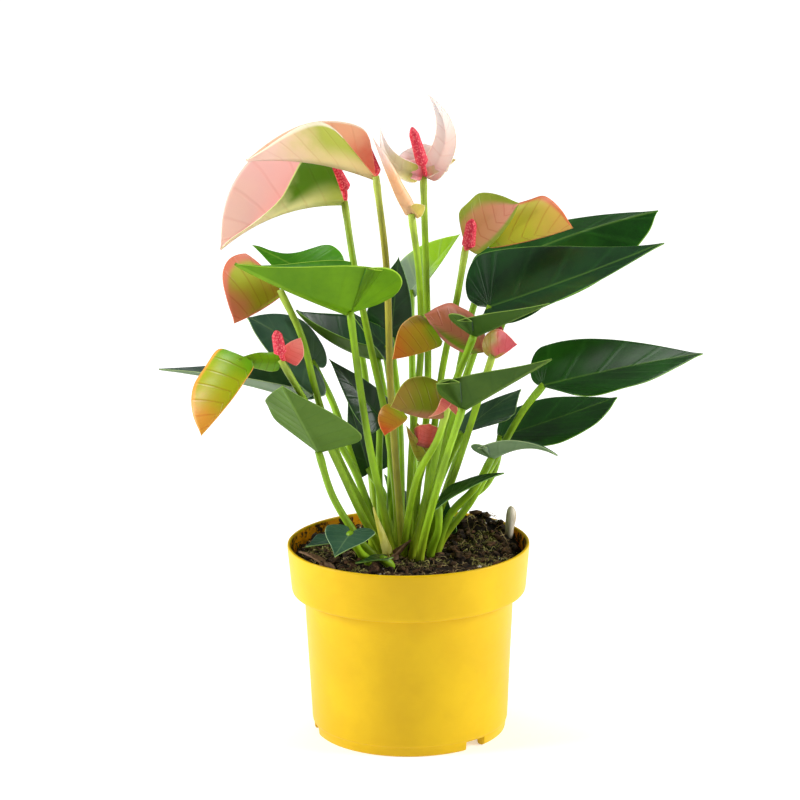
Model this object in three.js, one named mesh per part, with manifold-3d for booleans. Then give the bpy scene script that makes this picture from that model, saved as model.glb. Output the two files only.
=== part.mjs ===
// A potted flamingo flower (matata anthurium) in a 12 cm yellow nursery pot.
// Millimetres, +Z up, the origin in the middle of the pot's base, the front towards -Y.
import * as THREE from 'three';
import { mergeVertices } from 'three/addons/utils/BufferGeometryUtils.js';
import Module from 'manifold-3d';

const wasm = await Module();
wasm.setup();

// Driving dimensions
const POT_HEIGHT = 97;
const RIM_RADIUS = 61;
const BAND_RADIUS = 59;       // of the turned-out band at its lower lip
const BAND_BOTTOM = 72.5;
const WALL_TOP_RADIUS = 52.7; // of the wall, just under the band
const BASE_RADIUS = 48.6;
const WALL = 1.4;
const FLOOR_RISE = 4;         // of the raised part of the floor over the table
const FOOT_WIDTH = 4;         // of the ring that the pot stands on
const DISC_RADIUS = 16;       // of the disc in the middle of the base
const NOTCH_WIDTH = 12;
const NOTCH_HEIGHT = 4.6;
const NOTCH_BEARINGS = [-78, 42, 162];
const DRAIN_HOLES = 6;
const DRAIN_RADIUS = 4;
const DRAIN_RING_RADIUS = 34;
const POT_SIDES = 36;
const GAP = 0.3;              // between pieces that touch
const SOIL_LEVEL = 91.5;
const SOIL_BUMP = 0.7;        // height of the soil's small waves
const MOUND = { x: 36, y: 27, height: 11, across: 340, deep: 200 }; // behind right, square millimetres
const BLADE = 0.8;            // thickness of a leaf blade
const BRACT = 0.7;            // thickness of a spathe or a sheath
const STEM_FOOT = 83;         // height at which a stem ends in the soil
const STEM_RUN_IN = 0.8;      // of a stem into its blade
const STEM_SIDES = 5;
const STEM_STEP = 24;         // length of a stem's straight pieces
const STEM_RADIUS = 1.9;
const HOLE_CLEARANCE = 0.8;   // round a stem where it stands in the soil
const ROOT_RADIUS = 2.4;
const RIB_RADIUS = 0.9;       // of the rib between a spathe's petals
const LEAF_ROWS = 8;          // rows of faces from a blade's tip to its joint
const PETAL_ROWS = 7;
const SMALL_ROWS = 5;
const SPIKE_RINGS = 11;
const SPIKE_SIDES = 7;
const BERRY_RELIEF = 0.25;
const LARGEST_SLIVER = 0.05;  // cubic millimetres

const COLOURS = {
  pot: 0xf2c418,
  soil: 0x3a2a20,
  leaf: 0x245c2c,
  pinkSpathe: 0xefb4a8,
  paleSpathe: 0xf6dcd6,
  greenSpathe: 0x9aa63c,
  coralSpathe: 0xc87a54,
  roseSpathe: 0xa8684c,
  bud: 0xd0604e,
  spadix: 0xdc4256,
  sheath: 0xe2d27a,
  brown: 0x4e3424,
  root: 0xb8ae92,
};

const group = new THREE.Group();

function addMesh(name, geometry, colour, roughness = 0.5) {
  const material = new THREE.MeshStandardMaterial({ color: colour, roughness, metalness: 0 });
  const mesh = new THREE.Mesh(geometry, material);
  mesh.name = name;
  group.add(mesh);
}

// From a closed three.js geometry to a solid, and back
function toSolid(geometry) {
  const bare = new THREE.BufferGeometry();
  bare.setAttribute('position', geometry.getAttribute('position').clone());
  if (geometry.index) bare.setIndex(geometry.index.clone());
  const merged = mergeVertices(bare, 1e-4);
  const corners = merged.index.array;
  const kept = [];
  for (let i = 0; i < corners.length; i += 3) {
    const [a, b, c] = corners.slice(i, i + 3);
    if (a !== b && b !== c && c !== a) kept.push(a, b, c);
  }
  return new wasm.Manifold(new wasm.Mesh({
    numProp: 3,
    vertProperties: new Float32Array(merged.getAttribute('position').array),
    triVerts: new Uint32Array(kept),
  }));
}

function toGeometry(solid) {
  const mesh = solid.getMesh();
  const geometry = new THREE.BufferGeometry();
  geometry.setAttribute('position', new THREE.BufferAttribute(mesh.vertProperties, 3));
  geometry.setIndex(new THREE.BufferAttribute(mesh.triVerts, 1));
  return geometry;
}

// Where two blades cross at a slight angle the join can leave an empty sliver, which is dropped
function join(solids) {
  const whole = solids.reduce((sum, solid) => sum.add(solid));
  const pieces = whole.decompose().filter((piece) => Math.abs(piece.volume()) > LARGEST_SLIVER);
  return wasm.Manifold.compose(pieces);
}

// The soil's surface: small bumps, and a mound behind right
function soilHeight(x, y) {
  const away = (x - MOUND.x) ** 2 / MOUND.across + (y - MOUND.y) ** 2 / MOUND.deep;
  const mound = MOUND.height * Math.exp(-away);
  const bumps = SOIL_BUMP * Math.sin(0.31 * x + 0.8 * y) * Math.cos(0.9 * x - 0.23 * y);
  return SOIL_LEVEL + mound + bumps;
}

// Stems: a rod with STEM_SIDES sides along a smooth curve. A stem's first point is its place on the
// soil, which it reaches straight up from STEM_FOOT, and its end runs a little way into what it carries.
function stemCurve([[x, y], ...above]) {
  const points = [new THREE.Vector3(x, y, STEM_FOOT), new THREE.Vector3(x, y, soilHeight(x, y) + 1)];
  for (const point of above) points.push(new THREE.Vector3(...point));
  const end = points[points.length - 1];
  const last = end.clone().sub(points[points.length - 2]).normalize();
  end.addScaledVector(last, STEM_RUN_IN);
  return new THREE.CatmullRomCurve3(points, false, 'centripetal');
}

function rod(curve, radius, steps) {
  const outline = [];
  for (let i = 0; i < STEM_SIDES; i++) {
    const turn = (2 * Math.PI * i) / STEM_SIDES;
    outline.push(new THREE.Vector2(radius * Math.cos(turn), radius * Math.sin(turn)));
  }
  const options = { steps, bevelEnabled: false, extrudePath: curve };
  return toSolid(new THREE.ExtrudeGeometry(new THREE.Shape(outline), options));
}

// Half outlines of a blade, from the tip back to the base: [along, out], in lengths and half widths.
// A heart runs past its joint in a round lobe; a petal ends square at its base.
const HEART_SLIM = [[1, 0], [0.92, 0.07], [0.78, 0.2], [0.6, 0.4], [0.42, 0.62], [0.24, 0.82], [0.06, 0.96],
  [-0.1, 0.97], [-0.22, 0.82], [-0.29, 0.56], [-0.27, 0.28], [-0.15, 0.09]];
const HEART_FULL = [[1, 0], [0.95, 0.08], [0.85, 0.3], [0.68, 0.6], [0.49, 0.84], [0.28, 0.98], [0.08, 0.98],
  [-0.09, 0.86], [-0.19, 0.64], [-0.22, 0.38], [-0.18, 0.17], [-0.1, 0.05]];
const PETAL_SLIM = [[1, 0], [0.93, 0.07], [0.8, 0.2], [0.64, 0.4], [0.46, 0.62], [0.29, 0.83], [0.14, 0.96],
  [0.04, 0.94], [0, 0.8]];
const PETAL_FULL = [[1, 0], [0.95, 0.1], [0.84, 0.34], [0.68, 0.62], [0.49, 0.85], [0.3, 0.97], [0.13, 1],
  [0.03, 0.94], [0, 0.78]];
const HEART_MIDRIB = 0.5;     // share of a heart's outline whose veins leave the midrib before its joint
const PETAL_MIDRIB = 0.85;

// One half's outline, as count + 1 points. full blends from slim to full, lobe lengthens the heart's
// lobe, and a negative lobe slants a petal's base towards its tip.
function halfOutline(full, lobe, count) {
  const [slim, round] = lobe > 0 ? [HEART_SLIM, HEART_FULL] : [PETAL_SLIM, PETAL_FULL];
  const blend = slim.map(([along, out], i) => new THREE.Vector3(
    THREE.MathUtils.lerp(along, round[i][0], full), THREE.MathUtils.lerp(out, round[i][1], full), 0));
  const curve = new THREE.CatmullRomCurve3(blend, false, 'catmullrom', 0.5);
  const points = [];
  for (let i = 0; i <= count; i++) {
    const { x, y } = curve.getPoint(i / count);
    if (lobe > 0) points.push([x < 0 ? x * lobe : x, y]);
    else points.push([x - 0.3 * lobe * (1 - x) * y, y]);
  }
  return points;
}

// A blade is a sheet over (along, out): along runs down the midrib from the joint (0) to the tip (1),
// out goes from the midrib (0) to the margin (1). bow and nod arch the midrib, sway bends it sideways,
// lift raises the lobes, fold raises each half, [left, right] of the tip, and curl bends it further.
function bladeSheet({ base, tip, width, up = [0, 0, 1], roll = 0, bow = 0, nod = 0, sway = 0, lift = 0,
  fold = [10, 10], curl = [0, 0] }) {
  const joint = new THREE.Vector3(...base);
  const axis = new THREE.Vector3(...tip).sub(joint);
  const length = axis.length();
  axis.normalize();
  const above = new THREE.Vector3(...up);
  above.addScaledVector(axis, -above.dot(axis)).normalize();
  above.applyAxisAngle(axis, THREE.MathUtils.degToRad(roll));
  const beside = above.clone().cross(axis);
  const raised = THREE.MathUtils.degToRad(lift);

  function midrib(s) {
    const behind = s < 0;
    const arch = behind ? (lift ? 0 : 4 * s) : 4 * s * (1 - s);
    const droop = behind ? 0 : 6.75 * s * s * (1 - s);
    const rise = behind ? -s * Math.sin(raised) * length : 0;
    return joint.clone()
      .addScaledVector(axis, length * (behind ? s * Math.cos(raised) : s))
      .addScaledVector(above, bow * arch + nod * droop + rise)
      .addScaledVector(beside, sway * arch);
  }

  return function place(s, v, side, offset) {
    const i = side > 0 ? 0 : 1;
    const tangent = midrib(s + 1e-3).sub(midrib(s - 1e-3)).normalize();
    const normal = above.clone().addScaledVector(tangent, -above.dot(tangent)).normalize();
    const outward = normal.clone().cross(tangent).multiplyScalar(side);
    const start = THREE.MathUtils.degToRad(fold[i]);
    const bend = THREE.MathUtils.degToRad(curl[i]) || 1e-6;
    const angle = start + bend * v;
    const reach = width[i] / 2 / bend;
    const point = midrib(s)
      .addScaledVector(outward, reach * (Math.sin(angle) - Math.sin(start)))
      .addScaledVector(normal, -reach * (Math.cos(angle) - Math.cos(start)));
    if (v === 0) {
      const mean = THREE.MathUtils.degToRad((Math.abs(fold[0]) + Math.abs(fold[1])) / 2);
      return point.addScaledVector(normal, offset / Math.max(Math.cos(mean), 0.4));
    }
    return point
      .addScaledVector(normal, offset * Math.cos(angle))
      .addScaledVector(outward, -offset * Math.sin(angle));
  };
}

// The sheet as a closed solid, split into triangles alike on both faces
function blade(spec, thickness, rows, columns) {
  const place = bladeSheet(spec);
  const full = spec.full ?? [0, 0];
  const lobe = spec.lobe ?? [1, 1];
  const midribShare = lobe[0] > 0 ? HEART_MIDRIB : PETAL_MIDRIB;
  const positions = [];
  const corners = [];
  const numbers = new Map();

  function corner(side, row, column, face) {
    const start = Math.max(0, 1 - row / rows / midribShare);
    const shared = row === 0 ? 'tip' : column === 0 ? `rib ${start.toFixed(4)}` : `${side} ${row} ${column}`;
    const key = `${shared} ${face}`;
    if (!numbers.has(key)) {
      const [along, out] = outlines[side][row];
      const share = row === 0 ? 0 : column / columns;
      const s = THREE.MathUtils.lerp(start, along, share);
      numbers.set(key, positions.length / 3);
      positions.push(...place(s, out * share, side, (face * thickness) / 2).toArray());
    }
    return numbers.get(key);
  }

  const outlines = { 1: halfOutline(full[0], lobe[0], rows), [-1]: halfOutline(full[1], lobe[1], rows) };
  for (const side of [1, -1]) {
    for (const face of [1, -1]) {
      const at = (row, column) => corner(side, row, column, face);
      for (let row = 0; row < rows; row++) {
        for (let column = 0; column < columns; column++) {
          const quad = [at(row, column), at(row + 1, column), at(row + 1, column + 1), at(row, column + 1)];
          addQuad(quad, side * face > 0);
        }
      }
    }
    const edge = [];
    for (let column = 0; column <= columns; column++) edge.push([rows, column]);
    for (let row = rows - 1; row >= 0; row--) edge.push([row, columns]);
    for (let i = 0; i + 1 < edge.length; i++) {
      const [a, b] = [edge[i], edge[i + 1]];
      const upper = [corner(side, ...a, 1), corner(side, ...b, 1)];
      const lower = [corner(side, ...b, -1), corner(side, ...a, -1)];
      addQuad([...upper, ...lower], side < 0);
    }
  }

  function addQuad([a, b, c, d], reversed) {
    if (reversed) corners.push(a, c, b, a, d, c);
    else corners.push(a, b, c, a, c, d);
  }

  const geometry = new THREE.BufferGeometry();
  geometry.setAttribute('position', new THREE.Float32BufferAttribute(positions, 3));
  geometry.setIndex(corners);
  return toSolid(geometry);
}

// Leaves. A stem's first point is its place on the soil and its last one the blade's joint. Then come
// the blade's tip and its shape, as in bladeSheet and halfOutline.
const LEAVES = {
  leaf_front_left: {
    stem: [[-8, -9], [-12.5, -12, 118], [-18.5, -18, 150], [-23, -26, 184], [-27, -30, 220.5]],
    tip: [-80.5, -56, 250], width: [64, 58], fold: [54, 64], curl: [0, -20], full: [0.1, 0], bow: -1,
    lobe: [1.25, 0.6], lift: 28,
  },
  leaf_left_behind: {
    stem: [[-13, 4], [-25.5, 5, 131], [-38, 25, 164], [-47.5, 20, 185]],
    tip: [-79, 8, 211], width: [78, 46], roll: -28, fold: [8, 10], full: [2, 0.8], bow: 2,
  },
  leaf_far_left: {
    stem: [[-17.5, -1], [-24.5, -3, 130], [-38.5, -3, 155.5], [-53, 0, 171]],
    tip: [-121.5, -14, 190], width: [40, 44], fold: [24, 32], lobe: [0.1, 0.5], bow: 2,
  },
  leaf_left_low: {
    stem: [[-15.5, -16], [-23.5, -17, 102], [-37, -20, 126], [-43.5, -24, 149.5]],
    tip: [-60, -46, 188.5], width: [50, 36], fold: [10, 20], full: [0.2, 1.6], lobe: [-0.05, -1.3],
    up: [0.1, 0.6, 0.7],
  },
  leaf_right_back: {
    stem: [[8, 27], [21.5, 36, 151], [32, 30, 204], [39.5, 32, 228]],
    tip: [125.5, 20, 260.5], width: [44, 54], roll: 14, fold: [10, -45], full: [0.6, 2],
    lobe: [0.3, 0.3], bow: 3,
  },
  leaf_right_front: {
    stem: [[6.5, -3], [16, -6, 135.5], [27, -8, 176.5], [41, -8, 218]],
    tip: [124.5, -26, 252.5], width: [80, 38], roll: 14, fold: [22, 0], curl: [0, -14],
    full: [0.1, 0.9], bow: -1, lobe: [0.45, 0.15],
  },
  leaf_right_folded: {
    stem: [[2, -11], [11, -13, 132], [19.5, -15, 169.5], [32, -47, 212]],
    tip: [67.5, -63, 231], width: [26, 30], fold: [0, 45], lobe: [0.9, 1.1], lift: 50,
  },
  leaf_far_right: {
    stem: [[15.5, 5], [31, 6, 115], [42, 3, 135], [57.5, -4, 165], [67, -7, 178]],
    tip: [144.5, -20, 196.5], width: [62, 44], roll: 16, fold: [14, 0], full: [0.5, 1.3], bow: 1,
    lobe: [0.3, -0.9],
  },
  leaf_right_low: {
    stem: [[17, 19.5], [24, 21, 108], [39.5, 22, 120], [45, 22, 131], [47, 22, 145]],
    tip: [105.5, 14, 167], width: [46, 48], roll: 14, fold: [8, 0], full: [1, 2], bow: 1, sway: -3,
    lobe: [0.2, -1],
  },
  leaf_right_lowest: {
    stem: [[14.5, -2], [21.5, -2, 112], [33, -7, 126], [41.5, -13, 143]],
    tip: [73.5, -26, 147.5], width: [26, 26], fold: [12, 42], bow: 4, nod: 1, lift: 20,
  },
  leaf_middle_folded: {
    stem: [[5.5, -17.5], [16, -32, 139], [26.5, -46, 176]],
    tip: [68.5, -64, 204.5], width: [28, 44], fold: [45, 52], lobe: [0.3, 0.85], lift: 48,
  },
  leaf_middle_back: {
    stem: [[7, 19.5], [16.5, 18, 124], [27.5, 14, 149]],
    tip: [57, 8, 173], width: [22, 28], roll: 20, fold: [12, -10], full: [0.5, 2], bow: 1,
    lobe: [0.5, -2],
  },
  leaf_narrow: {
    stem: [[11, -10], [15, -13, 107], [15, -14, 121]],
    tip: [47.5, -19, 137], width: [18, 14], fold: [14, -10], full: [0.6, 0.6], lobe: [-0.2, 0.4], bow: 2,
  },
  leaf_back_left: {
    stem: [[-13.5, 13], [-14.5, 17, 129], [-13.5, 16, 157]],
    tip: [-38.5, 10, 189], width: [22, 20], full: [0.5, 0.5], lobe: [0.3, 0.3], up: [0.4, -1, 0.3],
  },
  leaf_back_left_low: {
    stem: [[-9, 19], [-11.5, 29, 111], [-20, 30, 127]],
    tip: [-30, 27, 165], width: [18, 26], full: [0.5, 1.2], lobe: [0.3, 0.3], up: [0.1, -1, 0.3],
  },
  leaf_back_middle: {
    stem: [[-3.5, 21], [-4, 48, 149], [-8, 52, 190]],
    tip: [-3.5, 50, 233], width: [30, 20], fold: [5, 5], full: [0.8, 1], lobe: [0.6, 0.6],
    up: [0.1, -1, 0.3],
  },
  leaf_back_light: {
    stem: [[4, 27], [3, 57, 157], [2.5, 71, 211]],
    tip: [28, 62, 242.5], width: [30, 8], fold: [10, 0], full: [0.9, 0.6], lobe: [0.9, 0.2],
    up: [-0.2, -1, 0.6],
  },
  leaf_left_hidden: {
    stem: [[-9.5, 10.5], [-9, 29, 149], [-15, 30, 184.5]],
    tip: [-55, 23, 211.5], width: [22, 44], fold: [40, 45], full: [0.5, 1], lobe: [0.4, 0.3], bow: -4,
  },
  leaf_middle_hidden: {
    stem: [[-5.5, 14], [-6.5, 12, 157], [-10.5, 12, 194.5]],
    tip: [-28, 4, 214.5], width: [22, 22], roll: -40, fold: [5, 5], lobe: [0.6, 0.6],
  },
  leaf_back_top: {
    stem: [[-16, 26], [-19, 43, 125], [-22, 50, 175], [-29, 49, 202], [-46, 36, 226]],
    tip: [-77, 30, 243.5], width: [18, 38], fold: [0, 0], curl: [0, -30], full: [0.3, -1],
    lobe: [-0.5, 0.9], up: [0.2, -1, 0.3],
  },
  leaf_right_hidden: {
    stem: [[13.5, 27.5], [36, 27, 163.5], [49, 4, 213]],
    tip: [70, 0, 218.5], width: [12, 12], fold: [0, 0], full: [1, 1], up: [0, -1, 0.6],
  },
  leaf_soil_front: {
    stem: [[-20, -22], [-24, -27, 99.5], [-28.5, -33, 110.5]],
    tip: [-36, -47, 103], width: [28, 28], fold: [5, 5],
  },
  leaf_soil_left: {
    stem: [[-23, -8.5], [-29, -15, 100.5], [-38.5, -20, 104]],
    tip: [-50.5, -32, 104], width: [18, 18], fold: [5, 5],
  },
  leaf_soil_small: {
    stem: [[-9, -28], [-13, -31, 97]],
    tip: [-26, -39, 97.5], width: [12, 12], fold: [15, 10],
  },
  leaf_shoot_left: {
    stem: [[0, 34], [-1, 38, 101]],
    tip: [-12, 40, 121.5], width: [20, 20], roll: -40, fold: [5, 5], lobe: [0.6, 0.6],
  },
  leaf_shoot_middle: {
    stem: [[12.5, 35], [14, 38, 101]],
    tip: [14.5, 37, 117.5], width: [18, 18], roll: 40, fold: [5, 5], lobe: [0.5, 0.5],
  },
  leaf_shoot_right: {
    stem: [[15.5, 14], [16, 15, 100]],
    tip: [19.5, 19, 117], width: [18, 18], roll: 40, fold: [5, 5], lobe: [0.5, 0.5],
  },
};

// Blooms: a stalk as for a leaf, which ends at the first petal's base, the petals that make up the
// spathe and, where it isn't wrapped away, the spadix.
const BLOOMS = {
  bloom_left_low: {
    colour: 'pinkSpathe',
    stem: [[-5.5, 1.5], [-6, 3, 118], [-11.5, 0, 166], [-16.5, -1, 191], [-25.5, 6, 237]],
    petals: [
      { base: [-30, 17, 266.5], tip: [-91.5, 7, 245.5], width: [70, 72], fold: [38, 66],
        curl: [45, 0], full: [-1.2, 1.1], bow: 6.5, lobe: [-0.5, -0.2] },
    ],
    spadix: { base: [-29, 16.5, 272.5], tip: [-36, 15, 287.5], radius: 3 },
  },
  bloom_left_top: {
    colour: 'pinkSpathe',
    stem: [[-3, -4], [-8, -4, 174], [-9.5, -8, 239]],
    petals: [
      { base: [-14, -13, 283.5], tip: [-77.5, 2, 290.5], width: [49, 44], fold: [50, 66],
        curl: [28, 0], full: [0.5, 1], bow: 4, lobe: [-1.2, -0.6] },
    ],
    spadix: { base: [-14, -8, 283.5], tip: [-20.5, 0, 300], radius: 3.2 },
  },
  bloom_top_narrow: {
    colour: 'pinkSpathe',
    stem: [[0, 6], [2.5, 2, 149], [7, -1, 194.5], [6.5, -10, 234]],
    petals: [
      { base: [3, -16, 265.5], tip: [-15.5, -20, 304.5], width: [6, 9], fold: [0, 0],
        curl: [-40, -60], full: [0.6, 0.6], lobe: [-0.1, -0.1], up: [0.2, -1, 0.1] },
      { base: [4, -16, 266], tip: [9.5, -18, 270.5], width: [8, 6], full: [1.5, 1.5],
        lobe: [-0.1, -0.1], up: [0, -1, 0.2] },
    ],
  },
  bloom_top_open: {
    colour: 'paleSpathe',
    stem: [[1, 13], [8.5, 12, 146.5], [10.5, 8, 178.5]],
    petals: [
      { base: [9, 2, 281.5], tip: [11.5, 4, 321.5], width: [12, 14], fold: [20, 10], sway: -10,
        full: [1, 1], lobe: [-0.2, -0.2], up: [-0.3, -1, 0.3] },
      { base: [7, 1, 283], tip: [-11.5, -3, 307], width: [12, 10], fold: [20, 20], sway: 7,
        full: [0.8, 0.8], lobe: [-0.2, -0.2], up: [0.3, -1, 0.6] },
      { base: [9.5, 4, 282], tip: [9.5, 8, 297], width: [25, 25], fold: [10, 10], curl: [20, 20],
        full: [2, 2], lobe: [-0.2, -0.2], up: [0, -1, 0.2] },
      { base: [8.5, 0, 282], tip: [-4, -3, 285.5], width: [6, 14], fold: [10, 10],
        full: [1.5, 1.5], lobe: [-0.2, -0.2], up: [0, -1, 0.6] },
      { base: [10, 0, 282.5], tip: [25, 0, 290], width: [14, 4], fold: [10, 10],
        full: [1.5, 1.5], lobe: [-0.2, -0.2], up: [0, -1, 0.6] },
    ],
    spadix: { base: [9, -7, 288], tip: [3.5, -13, 308], radius: 2.9 },
  },
  bloom_right: {
    colour: 'greenSpathe',
    stem: [[7, 10], [17, 10, 178.5], [25, -3, 221.5]],
    petals: [
      { base: [29.5, 2, 246], tip: [56, 2, 268], width: [36, 14], fold: [10, 0], curl: [-60, -30],
        full: [1.7, 1.2], lobe: [-0.8, -0.2], up: [0, -1, 0.2] },
      { base: [39, 5, 247.5], tip: [82, -2, 256], width: [38, 6], fold: [0, 0], curl: [-50, 0],
        full: [2.2, 1], lobe: [-1.1, -0.2], up: [0, -1, 0.2] },
    ],
    spadix: { base: [30.5, -5, 247], tip: [32.5, -7, 262], radius: 3.2 },
  },
  bloom_far_left: {
    colour: 'coralSpathe',
    stem: [[-12.5, -4.5], [-35, -15, 147], [-44, -22.5, 178], [-51, -25, 208.5]],
    petals: [
      { base: [-61, -20, 229.5], tip: [-83, -34, 216.5], width: [5, 58], fold: [0, 0], curl: [0, -40],
        full: [1, 1.3], lobe: [-0.2, 0.2], up: [0, -1, 0.2] },
    ],
  },
  bloom_left_drooping: {
    colour: 'greenSpathe',
    stem: [[-12.5, -9.5], [-23.5, -15, 116], [-40.5, -24, 157.5]],
    petals: [
      { base: [-60.5, -34, 198], tip: [-82, -36, 199.5], width: [11, 9], fold: [0, 0], curl: [-40, -40],
        full: [1, 1], lobe: [-0.2, -0.2], up: [0, -1, 0.3] },
      { base: [-74.5, -37, 199], tip: [-99, -50, 165], width: [6, 47], fold: [0, 0], curl: [0, -50],
        full: [1, 1.5], lobe: [-0.2, -0.2], up: [-0.2, -0.9, 0.3] },
      { base: [-59.5, -34, 198.5], tip: [-51, -32, 209], width: [8, 14], curl: [-30, -30], full: [1, 1.4],
        lobe: [-0.3, -0.3], up: [0, -1, 0.2] },
    ],
    spadix: { base: [-60.5, -39, 202], tip: [-62.5, -41, 214.5], radius: 3 },
  },
  bloom_middle: {
    colour: 'roseSpathe',
    stem: [[8.5, 3], [21.5, -4, 128], [35, -14, 172.5]],
    petals: [
      { base: [41.5, -28, 198], tip: [53.5, -34, 205], width: [24, 4], fold: [0, 0], curl: [-40, 0],
        full: [1.5, 0.5], lobe: [1.2, -0.2], up: [0, -1, 0.2] },
      { base: [40, -20, 198.5], tip: [8.5, -26, 218.5], width: [14, 26], fold: [0, 0], curl: [-20, -50],
        full: [1.2, 2], lobe: [-0.8, -1], up: [-0.2, -1, 0.3] },
      { base: [17.5, -28, 205.5], tip: [-7, -36, 198.5], width: [4, 35], fold: [0, 0], curl: [0, -40],
        full: [1, 1.2], lobe: [-0.2, -0.5], up: [0, -1, 0.2] },
    ],
    spadix: { base: [44, -17, 201], tip: [45.5, -17, 211], radius: 2.6 },
  },
  bloom_low: {
    colour: 'roseSpathe',
    stem: [[-2.5, -9], [4.5, -21, 135.5], [14.5, -32, 157.5]],
    petals: [
      { base: [19.5, -36, 174], tip: [-8, -42, 176.5], width: [11, 30], fold: [0, 0], curl: [-20, -40],
        full: [1, 2], lobe: [-0.2, -0.5], up: [0, -1, 0.2] },
      { base: [-2, -41, 174], tip: [-11, -45, 163], width: [8, 18], fold: [0, 0], curl: [0, -30],
        full: [0.3, 1.8], lobe: [-0.2, -0.2], up: [0, -1, 0.3] },
      { base: [19.5, -40, 179.5], tip: [10, -43, 171.5], width: [5, 6], fold: [0, 0], sway: 1.5,
        lobe: [-0.1, -0.1], up: [0, -1, 0.3] },
      { base: [20.5, -40, 179.5], tip: [27, -40, 169.5], width: [6, 4], fold: [0, 0], sway: -1,
        lobe: [-0.1, -0.1], up: [0, -1, 0.3] },
    ],
  },
  bloom_bud: {
    colour: 'bud',
    stem: [[4, 1.5], [5, -1, 125]],
    petals: [
      { base: [8, -3, 139.5], tip: [-0.5, -5, 158], width: [6, 6], fold: [20, 20], full: [1, 1],
        lobe: [-0.2, -0.2], up: [0, -1, 0] },
      { base: [8.5, -3, 140.5], tip: [5, -3, 159], width: [10, 12], fold: [0, 0], curl: [-60, -60],
        full: [1, 1], lobe: [-0.2, -0.2], up: [0, -1, 0] },
      { base: [9, -6, 147], tip: [11, -7, 159.5], width: [18, 18], fold: [0, 0], curl: [-80, -80],
        full: [2, 2], lobe: [-0.1, -0.1], up: [0, -1, 0] },
    ],
  },
};

// Small things between the stems: a pale sheath, a dry brown bract and a withered leaf
const SMALL_BLADES = {
  sheath: {
    colour: 'sheath',
    stem: [[-11, -16.5], [-11.5, -16.5, 95]],
    tip: [-17, -18, 120], width: [10, 10], fold: [40, 40], lobe: [-0.1, -0.1],
  },
  brown_bract: {
    colour: 'brown',
    stem: [[-7, -20], [-6.5, -19.5, 95]],
    tip: [1, -18, 103], width: [7, 7], fold: [35, 35], lobe: [-0.1, -0.1],
  },
  withered_leaf: {
    colour: 'brown',
    stem: [[-38, -33], [-42, -36, 96]],
    tip: [-54, -30, 101], width: [6, 6], fold: [25, 25], bow: 1, lobe: [-0.1, -0.1],
  },
};
const ROOT_STUB = [[51, 18], [52, 19, 109]];

const holes = [];

function plantStem(stem, radius = STEM_RADIUS) {
  const curve = stemCurve(stem);
  const steps = Math.max(1, Math.round(curve.getLength() / STEM_STEP));
  const foot = curve.getPointAt(0);
  const above = curve.getPointAt(1 / steps);
  const lean = above.clone().sub(foot).normalize();
  const hole = new THREE.LineCurve3(foot.addScaledVector(lean, -1.5), above.addScaledVector(lean, 1));
  holes.push(rod(hole, radius + HOLE_CLEARANCE, 1));
  return rod(curve, radius, steps);
}

for (const [name, { stem, ...shape }] of Object.entries(LEAVES)) {
  const base = stem[stem.length - 1];
  const sheet = blade({ base, ...shape }, BLADE, LEAF_ROWS, shape.curl ? 2 : 1);
  addMesh(name, toGeometry(join([plantStem(stem), sheet])), COLOURS.leaf, 0.35);
}

// Blooms. A thin rib runs from the stalk to each further petal of a spathe. The spadix is a separate
// tapering spike with a knobbly surface, and its round foot stands just clear of the spathe.
function rib(from, to) {
  const path = new THREE.LineCurve3(new THREE.Vector3(...from), new THREE.Vector3(...to));
  return rod(path, RIB_RADIUS, 1);
}

function spike({ base, tip, radius }) {
  const axis = new THREE.Vector3(...tip).sub(new THREE.Vector3(...base));
  const length = axis.length();
  const profile = [new THREE.Vector2(0, 0)];
  for (let ring = 1; ring < SPIKE_RINGS; ring++) {
    const along = ring / SPIKE_RINGS;
    const round = Math.sqrt(Math.min(1, 8 * along) * Math.min(1, 5 * (1 - along)));
    const knob = ring % 2 ? BERRY_RELIEF : -BERRY_RELIEF;
    profile.push(new THREE.Vector2(radius * (1.05 - 0.3 * along) * round + knob, along * length));
  }
  profile.push(new THREE.Vector2(0, length));
  const turn = new THREE.Quaternion().setFromUnitVectors(new THREE.Vector3(0, 1, 0), axis.normalize());
  return new THREE.LatheGeometry(profile, SPIKE_SIDES).applyQuaternion(turn).translate(...base);
}

for (const [name, { colour, stem, petals, spadix }] of Object.entries(BLOOMS)) {
  const pieces = [plantStem([...stem, petals[0].base])];
  petals.forEach((petal, i) => {
    pieces.push(blade(petal, BRACT, PETAL_ROWS, 2));
    if (i > 0) pieces.push(rib(petals[0].base, petal.base));
  });
  addMesh(name, toGeometry(join(pieces)), COLOURS[colour], 0.4);
  if (!spadix) continue;
  addMesh(name.replace('bloom', 'spadix'), toGeometry(toSolid(spike(spadix))), COLOURS.spadix, 0.6);
}

// The small things are thin blades too, and the root stub is a bare rod
for (const [name, { stem, colour, ...shape }] of Object.entries(SMALL_BLADES)) {
  const base = stem[stem.length - 1];
  const sheet = blade({ base, ...shape }, BRACT, SMALL_ROWS, 1);
  addMesh(name, toGeometry(join([plantStem(stem), sheet])), COLOURS[colour], 0.7);
}

addMesh('root_stub', toGeometry(plantStem(ROOT_STUB, ROOT_RADIUS)), COLOURS.root, 0.8);

// The pot, turned about Z: a floor raised on a centre disc and a foot ring, a tapering wall and a
// wider band below the rim. Water runs off through holes in the floor and notches in the foot.
function turned(profile) {
  const points = profile.map(([radius, z]) => new THREE.Vector2(radius, z));
  return new THREE.LatheGeometry(points, POT_SIDES).rotateX(Math.PI / 2);
}

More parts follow.
